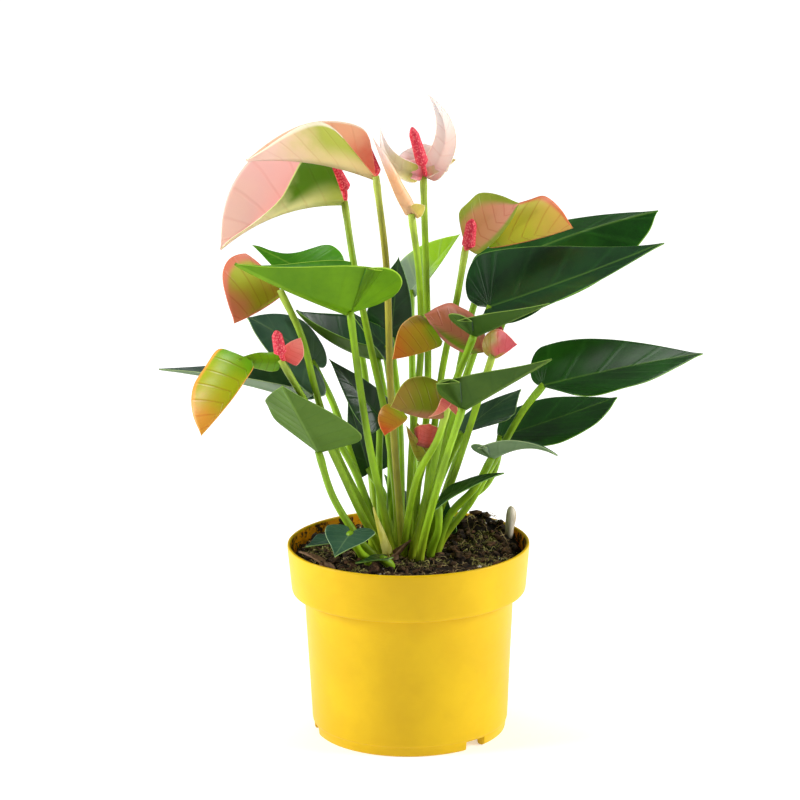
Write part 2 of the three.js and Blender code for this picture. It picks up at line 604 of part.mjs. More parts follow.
const footInner = BASE_RADIUS - FOOT_WIDTH;
const floorTop = FLOOR_RISE + WALL + 0.2;
const discTop = WALL + 0.2;
const bandTop = BAND_BOTTOM + 4;
const potProfile = [
  [0, 0], [DISC_RADIUS, 0], [DISC_RADIUS + 1.5, FLOOR_RISE],
  [footInner - 0.5, FLOOR_RISE], [footInner, 0], [BASE_RADIUS - 0.6, 0], [BASE_RADIUS, 0.6],
  [BASE_RADIUS + 0.4, FLOOR_RISE + 1.2], [BASE_RADIUS + 0.9, FLOOR_RISE + 1.6],
  [WALL_TOP_RADIUS, BAND_BOTTOM - 1], [BAND_RADIUS - 1, BAND_BOTTOM], [BAND_RADIUS, BAND_BOTTOM + 1.5],
  [RIM_RADIUS - 0.1, POT_HEIGHT - 1], [RIM_RADIUS - 0.5, POT_HEIGHT],
  [RIM_RADIUS - WALL, POT_HEIGHT], [RIM_RADIUS - WALL - 0.3, POT_HEIGHT - 1],
  [BAND_RADIUS - WALL, bandTop], [WALL_TOP_RADIUS - WALL, BAND_BOTTOM],
  [BASE_RADIUS - 0.6, floorTop + 1], [BASE_RADIUS - 1.8, floorTop],
  [DISC_RADIUS + 2.2, floorTop], [DISC_RADIUS + 0.2, discTop], [0, discTop],
];
let pot = toSolid(turned(potProfile));
for (const bearing of NOTCH_BEARINGS) {
  const notch = new THREE.BoxGeometry(NOTCH_WIDTH, FOOT_WIDTH + 4, 2 * NOTCH_HEIGHT);
  notch.translate(0, -(BASE_RADIUS - FOOT_WIDTH / 2), 0).rotateZ(THREE.MathUtils.degToRad(bearing));
  pot = pot.subtract(toSolid(notch));
}
for (let i = 0; i < DRAIN_HOLES; i++) {
  const hole = new THREE.CylinderGeometry(DRAIN_RADIUS, DRAIN_RADIUS, 4, 10).rotateX(Math.PI / 2);
  hole.translate(DRAIN_RING_RADIUS, 0, floorTop - 1).rotateZ((2 * Math.PI * i) / DRAIN_HOLES);
  pot = pot.subtract(toSolid(hole));
}
addMesh('pot', toGeometry(pot), COLOURS.pot, 0.4);

// The soil fills the pot to below its rim, with a plain hole for each stem
const soilProfile = [
  [0, discTop + GAP], [DISC_RADIUS - 0.2, discTop + GAP], [DISC_RADIUS + 1.9, floorTop + GAP],
  [BASE_RADIUS - 2.1, floorTop + GAP], [BASE_RADIUS - 0.9, floorTop + 1.2],
  [WALL_TOP_RADIUS - WALL - GAP, BAND_BOTTOM + 0.2], [BAND_RADIUS - WALL - GAP, bandTop + 0.3],
  [BAND_RADIUS - WALL + GAP, SOIL_LEVEL - 4],
];
for (const radius of [55, 46, 37, 28, 19, 10, 0]) soilProfile.push([radius, SOIL_LEVEL]);
const soilGeometry = turned(soilProfile);
const soilPoints = soilGeometry.getAttribute('position');
for (let i = 0; i < soilPoints.count; i++) {
  const onTop = soilPoints.getZ(i) > SOIL_LEVEL - 0.1;
  if (onTop) soilPoints.setZ(i, soilHeight(soilPoints.getX(i), soilPoints.getY(i)));
}
addMesh('soil', toGeometry(toSolid(soilGeometry).subtract(join(holes))), COLOURS.soil, 0.95);

export default group;
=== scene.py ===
"""A flamingo flower in a yellow nursery pot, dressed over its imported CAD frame.
Sizes in the tables are in millimetres and become metres through MM. Z is up, and the front looks
towards -Y."""
import math

import bmesh
import bpy
import numpy as np
from mathutils import Matrix


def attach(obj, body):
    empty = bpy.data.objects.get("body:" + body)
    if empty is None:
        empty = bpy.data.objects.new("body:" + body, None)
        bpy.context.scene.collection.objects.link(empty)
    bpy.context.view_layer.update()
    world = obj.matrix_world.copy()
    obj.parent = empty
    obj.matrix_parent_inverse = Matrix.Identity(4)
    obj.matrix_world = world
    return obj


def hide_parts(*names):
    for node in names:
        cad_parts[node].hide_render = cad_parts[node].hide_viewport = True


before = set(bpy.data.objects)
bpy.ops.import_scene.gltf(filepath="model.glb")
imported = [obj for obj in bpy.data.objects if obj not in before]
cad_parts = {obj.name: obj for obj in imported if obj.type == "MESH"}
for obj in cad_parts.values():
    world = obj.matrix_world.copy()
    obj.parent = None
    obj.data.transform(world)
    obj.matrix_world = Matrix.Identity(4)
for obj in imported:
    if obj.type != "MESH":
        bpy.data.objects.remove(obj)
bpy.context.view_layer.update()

# The pot: one moulded piece of thin yellow polypropylene, glossy outside with faint flow marks. It has a
# wide band under the rim, a tapering wall, a foot ring with three notches and a floor with drain holes.
MM = 0.001
POT_HEIGHT = 97
RIM_RADIUS = 61
BAND_RADIUS = 59
BAND_BOTTOM = 72.5
WALL_TOP_RADIUS = 52.7
BASE_RADIUS = 48.6
WALL = 1.4
FLOOR_RISE = 4
FOOT_WIDTH = 4
DISC_RADIUS = 16
NOTCH_WIDTH = 12
NOTCH_HEIGHT = 4.6
DRAIN_RADIUS = 4
DRAIN_RING_RADIUS = 34
SOIL_LEVEL = 91.5
NOTCH_BEARINGS = (-78, 42, 162)
DRAIN_COUNT = 6
CORNER_ROUNDING = 1.2


def linked(name, points, faces, *materials):
    """A mesh object from points in metres and faces, in the scene and with its materials."""
    mesh = bpy.data.meshes.new(name)
    mesh.from_pydata(points, [], faces)
    for material in materials:
        mesh.materials.append(material)
    made = bpy.data.objects.new(name, mesh)
    bpy.context.collection.objects.link(made)
    return made


def solid_from_grids(name, grids, materials, merge=2e-6):
    """A closed mesh object from several grids that share their borders. A grid is (points in metres, uv maps,
    material index, side): points[i, j] are joined to their neighbours, side +1 looks along the cross of the
    row and column directions and -1 against it, and points closer than merge become one."""
    verts, faces, slots = [], [], []
    maps = {key: [] for key in grids[0][1]}
    first = 0
    for points, uvs, slot, side in grids:
        rows, columns = points.shape[:2]
        index = np.arange(rows * columns).reshape(rows, columns)
        quads = np.stack([index[:-1, :-1], index[1:, :-1], index[1:, 1:], index[:-1, 1:]], -1).reshape(-1, 4)
        quads = quads[:, ::side]
        verts.append(points.reshape(-1, 3))
        faces.append(quads + first)
        slots.append(np.full(len(quads), slot))
        for key in maps:
            maps[key].append(uvs[key].reshape(-1, 2)[quads].reshape(-1, 2))
        first += rows * columns
    piece = linked(name, np.concatenate(verts).tolist(), np.concatenate(faces).tolist(), *materials)
    mesh = piece.data
    for key, parts in maps.items():
        layer = mesh.uv_layers.new(name=key)
        layer.data.foreach_set("uv", np.concatenate(parts).ravel().astype(np.float32))
    mesh.polygons.foreach_set("material_index", np.concatenate(slots).astype(np.int32))
    work = bmesh.new()
    work.from_mesh(mesh)
    bmesh.ops.remove_doubles(work, verts=work.verts, dist=merge)
    work.to_mesh(mesh)
    work.free()
    mesh.polygons.foreach_set("use_smooth", np.ones(len(mesh.polygons), bool))
    return piece


def finish_piece(piece, replaced):
    """Fixes a piece to the plant's one body, in the place of the CAD node replaced."""
    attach(piece, "root")
    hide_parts(replaced)


def revolved(profile, turn):
    """A profile of (radius, z) carried round the Z axis to the angles turn: x = r sin(a), y = -r cos(a)."""
    radius, height = np.array(profile, float).T
    return np.stack([np.outer(radius, np.sin(turn)), -np.outer(radius, np.cos(turn)),
                     np.repeat(height[:, None], len(turn), 1)], -1)


def full_circle(sides):
    """The angles of a closed ring of sides corners. The last is the first again, so that the seam closes."""
    turn = np.linspace(0, 2 * np.pi, sides + 1)
    turn[-1] = 0
    return turn


def turned_grid(profile, sides):
    """A profile revolved a full circle, with a map that runs once round it and once along it."""
    radius, height = np.array(profile, float).T
    lengths = np.concatenate([[0], np.cumsum(np.hypot(np.diff(radius), np.diff(height)))])
    uv = np.stack(np.meshgrid(np.linspace(0, 1, sides + 1), lengths / lengths[-1]), -1)
    return revolved(profile, full_circle(sides)), uv


def rounded(corners, radius, steps=3):
    """A profile whose corners are cut back by up to radius and bridged by a parabola through the cut ends."""
    corners = np.array(corners, float)
    points = [corners[0]]
    for before, corner, after in zip(corners, corners[1:], corners[2:]):
        ends = []
        for other in (before, after):
            away = other - corner
            length = np.hypot(*away)
            ends.append(corner + away / length * min(radius, 0.4 * length))
        for t in np.linspace(0, 1, steps + 1):
            points.append((1 - t) ** 2 * ends[0] + 2 * t * (1 - t) * corner + t * t * ends[1])
    points.append(corners[-1])
    return points


def new_material(name, roughness, **sockets):
    """A Principled material and its node tree's helpers. sockets are values set on the shader itself."""
    material = bpy.data.materials.new(name)
    material.use_nodes = True
    shader = material.node_tree.nodes["Principled BSDF"]
    shader.inputs["Roughness"].default_value = roughness
    for key, value in sockets.items():
        shader.inputs[key.replace("_", " ")].default_value = value
    return material, material.node_tree, shader


def rgb(*values):
    """A colour's linear shares from its screen values, 0 to 255."""
    return tuple((value / 255) ** 2.2 for value in values)


def node(tree, kind, **values):
    """A new shader node. values set its inputs by name, with _ for a space, or in lower case its settings."""
    made = tree.nodes.new("ShaderNode" + kind)
    for key, value in values.items():
        if key[0].islower():
            setattr(made, key, value)
        elif isinstance(value, bpy.types.NodeSocket):
            tree.links.new(value, made.inputs[key.replace("_", " ")])
        else:
            made.inputs[key.replace("_", " ")].default_value = value
    return made


def blend(tree, factor, first, second, blend_type="MIX"):
    """Mixes two colours by a factor; each may be a value or another node's output."""
    mix = tree.nodes.new("ShaderNodeMix")
    mix.data_type = "RGBA"
    mix.blend_type = blend_type
    for index, value in ((0, factor), (6, first), (7, second)):
        if isinstance(value, bpy.types.NodeSocket):
            tree.links.new(value, mix.inputs[index])
        else:
            mix.inputs[index].default_value = (*value, 1) if index else value
    return mix.outputs[2]


def maths(tree, operation, first, second=0.0):
    """One math node's output."""
    made = node(tree, "Math", operation=operation)
    for socket, value in zip(made.inputs, (first, second)):
        if isinstance(value, bpy.types.NodeSocket):
            tree.links.new(value, socket)
        else:
            socket.default_value = value
    return made.outputs[0]


def object_place(tree):
    """The place on the object, in metres."""
    return node(tree, "TexCoord").outputs["Object"]


def map_axes(tree, name):
    """The two axes of a UV map."""
    return node(tree, "SeparateXYZ", Vector=node(tree, "UVMap", uv_map=name).outputs[0]).outputs[:2]


def between(tree, value, low, high):
    """0 where value is at low, 1 where it is at high, smooth in between."""
    ramp = node(tree, "MapRange", interpolation_type="SMOOTHSTEP", Value=value, From_Min=low, From_Max=high)
    return ramp.outputs[0]


def paint(tree, shader, colour, height, distance):
    """Gives a skin its colour, and a bump of distance metres from a height between 0 and 1."""
    tree.links.new(colour, shader.inputs["Base Color"])
    bump = node(tree, "Bump", Height=height, Distance=distance, Strength=1.0)
    tree.links.new(bump.outputs[0], shader.inputs["Normal"])


def pot_plastic():
    """Yellow plastic with fine flow marks. Its inside above the soil is painted a deeper orange, a painted
    shade for the shaded inner wall, with patches of real soil on it: inside means nearer the axis than the
    band's wall at that height, from the band upwards."""
    material, tree, shader = new_material("pot_plastic", 0.42, Specular_IOR_Level=0.2, Subsurface_Weight=0.04,
                                          Subsurface_Scale=0.004, Subsurface_Radius=(1.0, 0.55, 0.1))
    yellows = (0.66, 0.41, 0.002), (0.73, 0.47, 0.003)
    # Painted shade: orange is the colour the shaded inner wall is painted; soil_brown is real soil clinging
    # to it
    orange, soil_brown = (0.86, 0.34, 0.002), (0.035, 0.018, 0.008)
    place = object_place(tree)
    mottle = node(tree, "TexNoise", Vector=place, Scale=28.0, Detail=4.0, Roughness=0.6)
    spread = node(tree, "Mapping", Vector=place, Scale=(40, 40, 260))
    marks = node(tree, "TexNoise", Vector=spread.outputs[0], Scale=4.0, Detail=3.0)
    colour = blend(tree, between(tree, mottle.outputs["Fac"], 0.35, 0.7), *yellows)
    x, y, z = node(tree, "SeparateXYZ", Vector=place).outputs
    squares = maths(tree, "MULTIPLY", x, x), maths(tree, "MULTIPLY", y, y)
    out = maths(tree, "SQRT", maths(tree, "ADD", *squares))
    slope = (RIM_RADIUS - BAND_RADIUS) / (POT_HEIGHT - BAND_BOTTOM)
    level = maths(tree, "SUBTRACT", out, maths(tree, "MULTIPLY", z, slope))
    reach = (RIM_RADIUS - 0.6 * WALL - slope * POT_HEIGHT) * MM
    above_soil = between(tree, z, (BAND_BOTTOM + 6) * MM, (BAND_BOTTOM + 7) * MM)
    below_rim = between(tree, z, (POT_HEIGHT - 0.5) * MM, (POT_HEIGHT - 1.5) * MM)
    inside = maths(tree, "MULTIPLY", between(tree, level, reach, reach - 0.2 * MM), above_soil)
    inside = maths(tree, "MULTIPLY", inside, below_rim)
    # Painted shade: the inner wall above the soil turns orange, where it stands in shade
    colour = blend(tree, inside, colour, orange)
    dirt = node(tree, "TexNoise", Vector=place, Scale=170.0, Detail=5.0, Roughness=0.7)
    clinging = maths(tree, "MULTIPLY", inside, between(tree, dirt.outputs["Fac"], 0.47, 0.53))
    colour = blend(tree, clinging, colour, soil_brown)
    rough = node(tree, "MapRange", Value=mottle.outputs["Fac"], To_Min=0.34, To_Max=0.48)
    tree.links.new(rough.outputs[0], shader.inputs["Roughness"])
    paint(tree, shader, colour, marks.outputs["Fac"], 0.00008)
    return material


foot_inner = BASE_RADIUS - FOOT_WIDTH
floor_top = FLOOR_RISE + WALL + 0.2
disc_top = WALL + 0.2
band_top = BAND_BOTTOM + 4
pot_corners = [
    (0, 0), (DISC_RADIUS, 0), (DISC_RADIUS + 1.5, FLOOR_RISE),
    (foot_inner - 0.5, FLOOR_RISE), (foot_inner, 0), (BASE_RADIUS - 0.3, 0),
    (BASE_RADIUS + 0.4, FLOOR_RISE + 1.2), (BASE_RADIUS + 0.9, FLOOR_RISE + 1.7),
    (WALL_TOP_RADIUS, BAND_BOTTOM - 1.2), (WALL_TOP_RADIUS + 0.6, BAND_BOTTOM - 0.1),
    (BAND_RADIUS - 0.6, BAND_BOTTOM + 0.1), (BAND_RADIUS, BAND_BOTTOM + 1.6),
    (RIM_RADIUS - 0.15, POT_HEIGHT - 1.6), (RIM_RADIUS - 0.2, POT_HEIGHT),
    (RIM_RADIUS - WALL - 0.2, POT_HEIGHT), (RIM_RADIUS - WALL - 0.3, POT_HEIGHT - 1),
    (BAND_RADIUS - WALL, band_top), (WALL_TOP_RADIUS - WALL, BAND_BOTTOM),
    (BASE_RADIUS - 0.9, floor_top + 0.6), (BASE_RADIUS - 1.8, floor_top),
    (DISC_RADIUS + 2.2, floor_top), (DISC_RADIUS + 0.2, disc_top), (0, disc_top),
]


def pot_piece():
    """The pot's profile turned, its foot's lower edge lifted to NOTCH_HEIGHT in the three notches, and the
    drain holes cut through its floor. At each end of a notch two angles take the place of those near it, so
    that the step there is upright."""
    bearings = np.radians(NOTCH_BEARINGS)
    half = NOTCH_WIDTH / 2 / BASE_RADIUS
    sides, near, step = 180, 0.012, 1e-5
    turn = np.linspace(0, 2 * np.pi, sides + 1)[:-1]
    for bearing in bearings % (2 * np.pi):
        ends = np.array([bearing - half, bearing + half])
        turn = turn[(abs(turn - ends[0]) > near) & (abs(turn - ends[1]) > near)]
        turn = np.concatenate([turn, ends - step, ends + step])
    turn = np.sort(turn)
    turn = np.append(turn, turn[0])
    profile = rounded(pot_corners, CORNER_ROUNDING)
    points = revolved(profile, turn)
    radius, height = np.array(profile).T
    apart = abs((turn[:, None] - bearings + np.pi) % (2 * np.pi) - np.pi)
    notched = (apart < half).any(1)
    foot = (radius > foot_inner - 1) & (height < NOTCH_HEIGHT)
    points[np.ix_(foot, notched, [2])] = NOTCH_HEIGHT
    uv = np.stack(np.meshgrid(turn, height), -1) * MM
    piece = solid_from_grids("pot_shell", [(points * MM, {"UVMap": uv}, 0, -1)], [pot_plastic()], 1e-7)
    cutters = []
    for spoke in 2 * np.pi * np.arange(DRAIN_COUNT) / DRAIN_COUNT:
        ring = [(0, -2), (DRAIN_RADIUS, -2), (DRAIN_RADIUS, 3), (0, 3)]
        grid, uv = turned_grid(ring, 32)
        grid = grid + [DRAIN_RING_RADIUS * math.cos(spoke), DRAIN_RING_RADIUS * math.sin(spoke), FLOOR_RISE]
        cutters.append((grid * MM, {"UVMap": uv}, 0, -1))
    cutter = solid_from_grids("drain_cutter", cutters, [])
    cut = piece.modifiers.new("drains", "BOOLEAN")
    cut.object = cutter
    cut.operation = "DIFFERENCE"
    cut.solver = "EXACT"
    cleared = bpy.data.meshes.new_from_object(piece.evaluated_get(bpy.context.evaluated_depsgraph_get()))
    piece.modifiers.clear()
    piece.data = cleared
    bpy.data.objects.remove(cutter)
    return piece


pot = pot_piece()
finish_piece(pot, "pot")


# The soil: dark moist peat with crumbs, pale fibres, white perlite and a little moss, filled to just
# below the rim and heaped behind right. It is one relief surface down to the floor, with loose grains on it.
MOUND_PLACE = (36, 27)
MOUND_HEIGHT = 11
CRUMB_SIZE = 11
CRUMB_DEPTH = 0.55
rng = np.random.default_rng(7)


def soil_height(x, y):
    """The level the stalks stand in: SOIL_LEVEL, small waves, and a bell-shaped mound behind right."""
    aside, behind = x - MOUND_PLACE[0], y - MOUND_PLACE[1]
    mound = MOUND_HEIGHT * np.exp(-(aside ** 2) / 340 - behind ** 2 / 200)
    bumps = 0.7 * np.sin(0.31 * x + 0.8 * y) * np.cos(0.9 * x - 0.23 * y)
    return SOIL_LEVEL + mound + bumps


def crumbled(x, y):
    """Rough ground: a sum of sines in turned directions, each finer and shallower than the last."""
    total = np.zeros_like(x)
    for step, turn in enumerate(np.radians([17, 71, 128, 203, 251, 317, 38, 97])):
        reach = CRUMB_SIZE / 1.5 ** step
        along = (x * math.cos(turn) + y * math.sin(turn)) / reach
        across = (y * math.cos(turn) - x * math.sin(turn)) / reach
        total += np.sin(6.28 * along + 2.1 * step) * np.cos(5.1 * across + step) / 1.35 ** step
    return CRUMB_DEPTH * total


def soil_matter(name, dark, light, scale):
    """Peat and what lies in it: two tones in clumps and fine specks, with a grainy bump."""
    material, tree, shader = new_material(name, 0.95, Specular_IOR_Level=0.25)
    place = object_place(tree)
    clumps = node(tree, "TexNoise", Vector=place, Scale=scale, Detail=8.0, Roughness=0.7)
    grains = node(tree, "TexVoronoi", Vector=place, Scale=scale * 5)
    colour = blend(tree, between(tree, clumps.outputs["Fac"], 0.42, 0.68), dark, light)
    specks = between(tree, grains.outputs["Distance"], 0.16, 0.05)
    colour = blend(tree, maths(tree, "MULTIPLY", specks, 0.5), colour, light)
    paint(tree, shader, colour, clumps.outputs["Fac"], 0.0012)
    return material


# The soil's profile from the middle of its underside up along the pot, then across its top to the middle
soil_side = [(0, disc_top + 0.3), (DISC_RADIUS - 0.2, disc_top + 0.3), (DISC_RADIUS + 1.9, floor_top + 0.3),
             (BASE_RADIUS - 2.2, floor_top + 0.3), (WALL_TOP_RADIUS - WALL - 0.3, BAND_BOTTOM + 0.2),
             (BAND_RADIUS - WALL - 0.3, band_top + 0.3), (BAND_RADIUS - WALL + 0.3, SOIL_LEVEL - 5)]
soil_top = [(r, SOIL_LEVEL) for r in np.linspace(BAND_RADIUS - WALL - 0.4, 0, 75)]
soil_points, soil_uv = turned_grid(soil_side + soil_top, 240)
surface = soil_points[len(soil_side):]
ground_x, ground_y = surface[..., 0], surface[..., 1]
far_out = np.hypot(ground_x, ground_y)
ease = np.clip((BAND_RADIUS - 0.5 - far_out) / 4, 0.2, 1)
sunken_edge = 1.5 * np.clip(far_out / 56, 0, 1) ** 8
surface[..., 2] = soil_height(ground_x, ground_y) + crumbled(ground_x, ground_y) * ease - sunken_edge
soil = solid_from_grids("soil_bed", [(soil_points * MM, {"UVMap": soil_uv}, 0, -1)],
                        [soil_matter("peat", (0.008, 0.005, 0.003), (0.07, 0.038, 0.018), 160)])
finish_piece(soil, "soil")


def strewn(count, spare, margin, keep):
    """Random places on the soil, even over its area and margin inside the band: spare times too many are
    drawn, those that keep refuses are left out, and the first count are used."""
    radius = (BAND_RADIUS - margin) * np.sqrt(rng.random(count * spare))
    turn = 2 * np.pi * rng.random(count * spare)
    x, y = radius * np.sin(turn), -radius * np.cos(turn)
    if keep is not None:
        chosen = keep(x, y)
        x, y = x[chosen], y[chosen]
    return x[:count], y[:count]


def spun(first, second, angle):
    """Two coordinates turned by an angle in their plane."""
    return first * np.cos(angle) - second * np.sin(angle), first * np.sin(angle) + second * np.cos(angle)


def scattered(name, count, smallest, largest, stretch, lift, material, keep=None):
    """Small lumps strewn on the soil: a squashed 20-sided ball, each copy scaled, stretched, turned and
    dented at random, its centre lift times its size above the surface."""
    gold = (1 + 5 ** 0.5) / 2
    ball = np.array([(-1, gold, 0), (1, gold, 0), (-1, -gold, 0), (1, -gold, 0),
                     (0, -1, gold), (0, 1, gold), (0, -1, -gold), (0, 1, -gold),
                     (gold, 0, -1), (gold, 0, 1), (-gold, 0, -1), (-gold, 0, 1)])
    ball /= np.linalg.norm(ball[0])
    sides = np.array([(0, 11, 5), (0, 5, 1), (0, 1, 7), (0, 7, 10), (0, 10, 11),
                      (1, 5, 9), (5, 11, 4), (11, 10, 2), (10, 7, 6), (7, 1, 8),
                      (3, 9, 4), (3, 4, 2), (3, 2, 6), (3, 6, 8), (3, 8, 9),
                      (4, 9, 5), (2, 4, 11), (6, 2, 10), (8, 6, 7), (9, 8, 1)])
    x, y = strewn(count, 3, 4, keep)
    count = len(x)
    size = smallest + (largest - smallest) * rng.random(count) ** 2
    flatness = 0.5 + 0.5 * rng.random(count)
    shape = size[:, None] * np.stack([np.full(count, stretch), np.ones(count), flatness], -1)
    lumps = ball[None] * (1 + 0.35 * (rng.random((count, len(ball), 1)) - 0.5)) * shape[:, None]
    spin, tilt = 2 * np.pi * rng.random((count, 1)), 0.9 * (rng.random((count, 1)) - 0.5)
    leaning, rise = spun(lumps[..., 0], lumps[..., 2], tilt)
    aside, ahead = spun(leaning, lumps[..., 1], spin)
    ground = soil_height(x, y) + crumbled(x, y) + lift * size
    points = np.stack([x[:, None] + aside, y[:, None] + ahead, ground[:, None] + rise], -1)
    faces = sides[None] + len(ball) * np.arange(count)[:, None, None]
    finish_piece(linked(name, (points.reshape(-1, 3) * MM).tolist(), faces.reshape(-1, 3).tolist(), material),
                 "soil")


# Patches of moss as (x, y, reach): below the mound, along the left rim, in front and at the right rim
MOSS = ((36, 6, 11), (-44, -2, 12), (-28, -36, 9), (40, -22, 9))


def mossy(x, y):
    """Whether a place is in one of the round patches or in the long one at the stalks' feet."""
    patches = [np.hypot(x - at_x, y - at_y) < reach for at_x, at_y, reach in MOSS]
    return np.any(patches, axis=0) | (np.hypot((x - 4) / 2, y + 22) < 8)


# How many of each kind, their smallest and largest size, their stretch and how far they stand out
scattered("soil_crumbs", 900, 0.5, 2.4, 1.2, 0.2,
          soil_matter("crumb_peat", (0.010, 0.006, 0.003), (0.13, 0.075, 0.035), 260))
scattered("soil_chips", 220, 0.6, 1.9, 2.6, 0.35,
          soil_matter("bark_chips", (0.05, 0.022, 0.009), (0.16, 0.085, 0.04), 300))
scattered("soil_perlite", 46, 0.4, 1.1, 1.1, 0.5,
          soil_matter("perlite", (0.42, 0.38, 0.32), (0.75, 0.72, 0.66), 400))
scattered("soil_moss", 620, 0.3, 1.0, 1.5, 0.5,
          soil_matter("moss", (0.035, 0.035, 0.008), (0.20, 0.19, 0.06), 500), mossy)


def fibres(name, count, longest, thickness, material, keep=None):
    """Bent three-sided threads on the soil: along a thread its direction swings by a random amount, it rises
    off the ground in a low arch, and its ends come to a point."""
    rings, sides = 9, 3
    x, y = (place[:, None] for place in strewn(count, 4, 5, keep))
    count = len(x)
    along = np.linspace(0, 1, rings)[None]
    length = longest * (0.35 + 0.65 * rng.random((count, 1)))
    bearing = 2 * np.pi * rng.random((count, 1)) + 2.4 * (rng.random((count, 1)) - 0.5) * along
    x = x + length * (along - 0.5) * np.cos(bearing)
    y = y + length * (along - 0.5) * np.sin(bearing)
    far = np.maximum(1, np.hypot(x, y) / (BAND_RADIUS - 4))
    x, y = x / far, y / far
    arch = 0.3 + 1.6 * rng.random((count, 1)) * np.sin(np.pi * along)
    z = soil_height(x, y) + crumbled(x, y) + arch
    thin = (thickness * np.sqrt(np.sin(np.pi * (0.04 + 0.92 * along))))[..., None]
    around = 2 * np.pi * np.arange(sides) / sides
    points = np.stack([x[..., None] - thin * np.sin(bearing)[..., None] * np.cos(around),
                       y[..., None] + thin * np.cos(bearing)[..., None] * np.cos(around),
                       z[..., None] + thin * np.sin(around)], -1)
    ring, side = np.meshgrid(np.arange(rings - 1), np.arange(sides), indexing="ij")
    corner, beside = ring * sides + side, ring * sides + (side + 1) % sides
    walls = np.stack([corner, beside, beside + sides, corner + sides], -1).reshape(-1, 4)
    starts = rings * sides * np.arange(count)[:, None, None]
    faces = (walls[None] + starts).reshape(-1, 4).tolist()
    last = (rings - 1) * sides
    faces += (np.array([[2, 1, 0]]) + starts[:, 0]).tolist()
    faces += (np.array([[last, last + 1, last + 2]]) + starts[:, 0]).tolist()
    finish_piece(linked(name, (points.reshape(-1, 3) * MM).tolist(), faces, material), "soil")


# How many threads, the longest one and the thickness
fibres("soil_fibres", 380, 9, 0.2,
       soil_matter("pale_fibres", (0.20, 0.13, 0.055), (0.55, 0.46, 0.22), 200))
fibres("moss_threads", 520, 5, 0.22,
       soil_matter("moss_threads", (0.20, 0.18, 0.045), (0.48, 0.44, 0.16), 200), mossy)


# The stalks: each leaf and bloom stands on a long round stalk, waxy and yellow-green, a little thicker at
# its foot in the soil and in a short knee just below the blade. They grow from one crown of several shoots.
STEM_RADIUS = 2.0
STEM_DEPTH = 8.5
STEM_RUN_IN = 0.8


def smooth_path(points, count):
    """A centripetal Catmull-Rom curve through points: between two of them a cubic whose end slopes come
    from the neighbours, weighted by the square roots of the distances. count points, evenly spaced."""
    points = np.array(points, float)
    ends = 2 * points[0] - points[1], 2 * points[-1] - points[-2]
    padded = np.concatenate([[ends[0]], points, [ends[1]]])
    t = np.linspace(0, 1, 40)[:, None]
    pieces = []
    for a, b, c, d in zip(padded, padded[1:], padded[2:], padded[3:]):
        da, db, dc = (np.linalg.norm(q - p) ** 0.5 for p, q in ((a, b), (b, c), (c, d)))
        out = ((b - a) / da - (c - a) / (da + db) + (c - b) / db) * db
        into = ((c - b) / db - (d - b) / (db + dc) + (d - c) / dc) * db
        pieces.append(b + out * t + (3 * (c - b) - 2 * out - into) * t ** 2
                      + (2 * (b - c) + out + into) * t ** 3)
    dense = np.concatenate(pieces)
    far = np.concatenate([[0], np.cumsum(np.linalg.norm(np.diff(dense, axis=0), axis=1))])
    keep = np.concatenate([[True], np.diff(far) > 0])
    even = np.linspace(0, far[-1], count)
    return np.stack([np.interp(even, far[keep], dense[keep, k]) for k in range(3)], -1), far[-1]


def tube_grid(path, radius, sides):
    """A ring of sides points carried along path, whose plane turns with it: radius is one value per ring, and
    the first and last rings are drawn in to a point."""
    tangent = np.gradient(path, axis=0)
    tangent /= np.linalg.norm(tangent, axis=1)[:, None]
    across = np.cross(tangent, [0.3, 1.0, 0.05])
    across /= np.linalg.norm(across, axis=1)[:, None]
    other = np.cross(tangent, across)
    turn = full_circle(sides)
    ring = across[:, None] * np.cos(turn)[:, None] + other[:, None] * np.sin(turn)[:, None]
    walls = path[:, None] + ring * radius[:, None, None]
    foot, top = (np.repeat(end[:, None], sides + 1, 1) for end in (path[:1], path[-1:]))
    points = np.concatenate([foot, walls, top])
    along = np.concatenate([[0], np.linspace(0, 1, len(path)), [1]])
    uv = np.stack(np.meshgrid(np.linspace(0, 1, sides + 1), along), -1)[..., ::-1]
    return points, uv


def stalk_grid(stem, thickness=1.0, slot=0):
    """A stalk from STEM_DEPTH in the soil to STEM_RUN_IN inside what it carries. Its radius shrinks evenly
    along it, plus a bell-shaped swelling at its foot and a smaller one, the knee, below its end."""
    (x, y), *above = stem
    ground = float(soil_height(x, y))
    points = [(x, y, ground - STEM_DEPTH), (x, y, ground + 1), *above]
    run = np.array(points[-1], float) - np.array(points[-2], float)
    points[-1] = np.array(points[-1]) + run / np.linalg.norm(run) * STEM_RUN_IN
    rings = 40
    path, length = smooth_path(points, rings)
    far = np.linspace(0, length, rings)
    foot = 0.25 * np.exp(-(far / 16) ** 2)
    knee = 0.14 * np.exp(-((far - length + 5) / 4) ** 2)
    radius = STEM_RADIUS * thickness * (0.98 + foot - 0.12 * far / length + knee)
    grid, uv = tube_grid(path, radius, 14)
    return grid * MM, {"veins": uv, "place": uv}, slot, -1


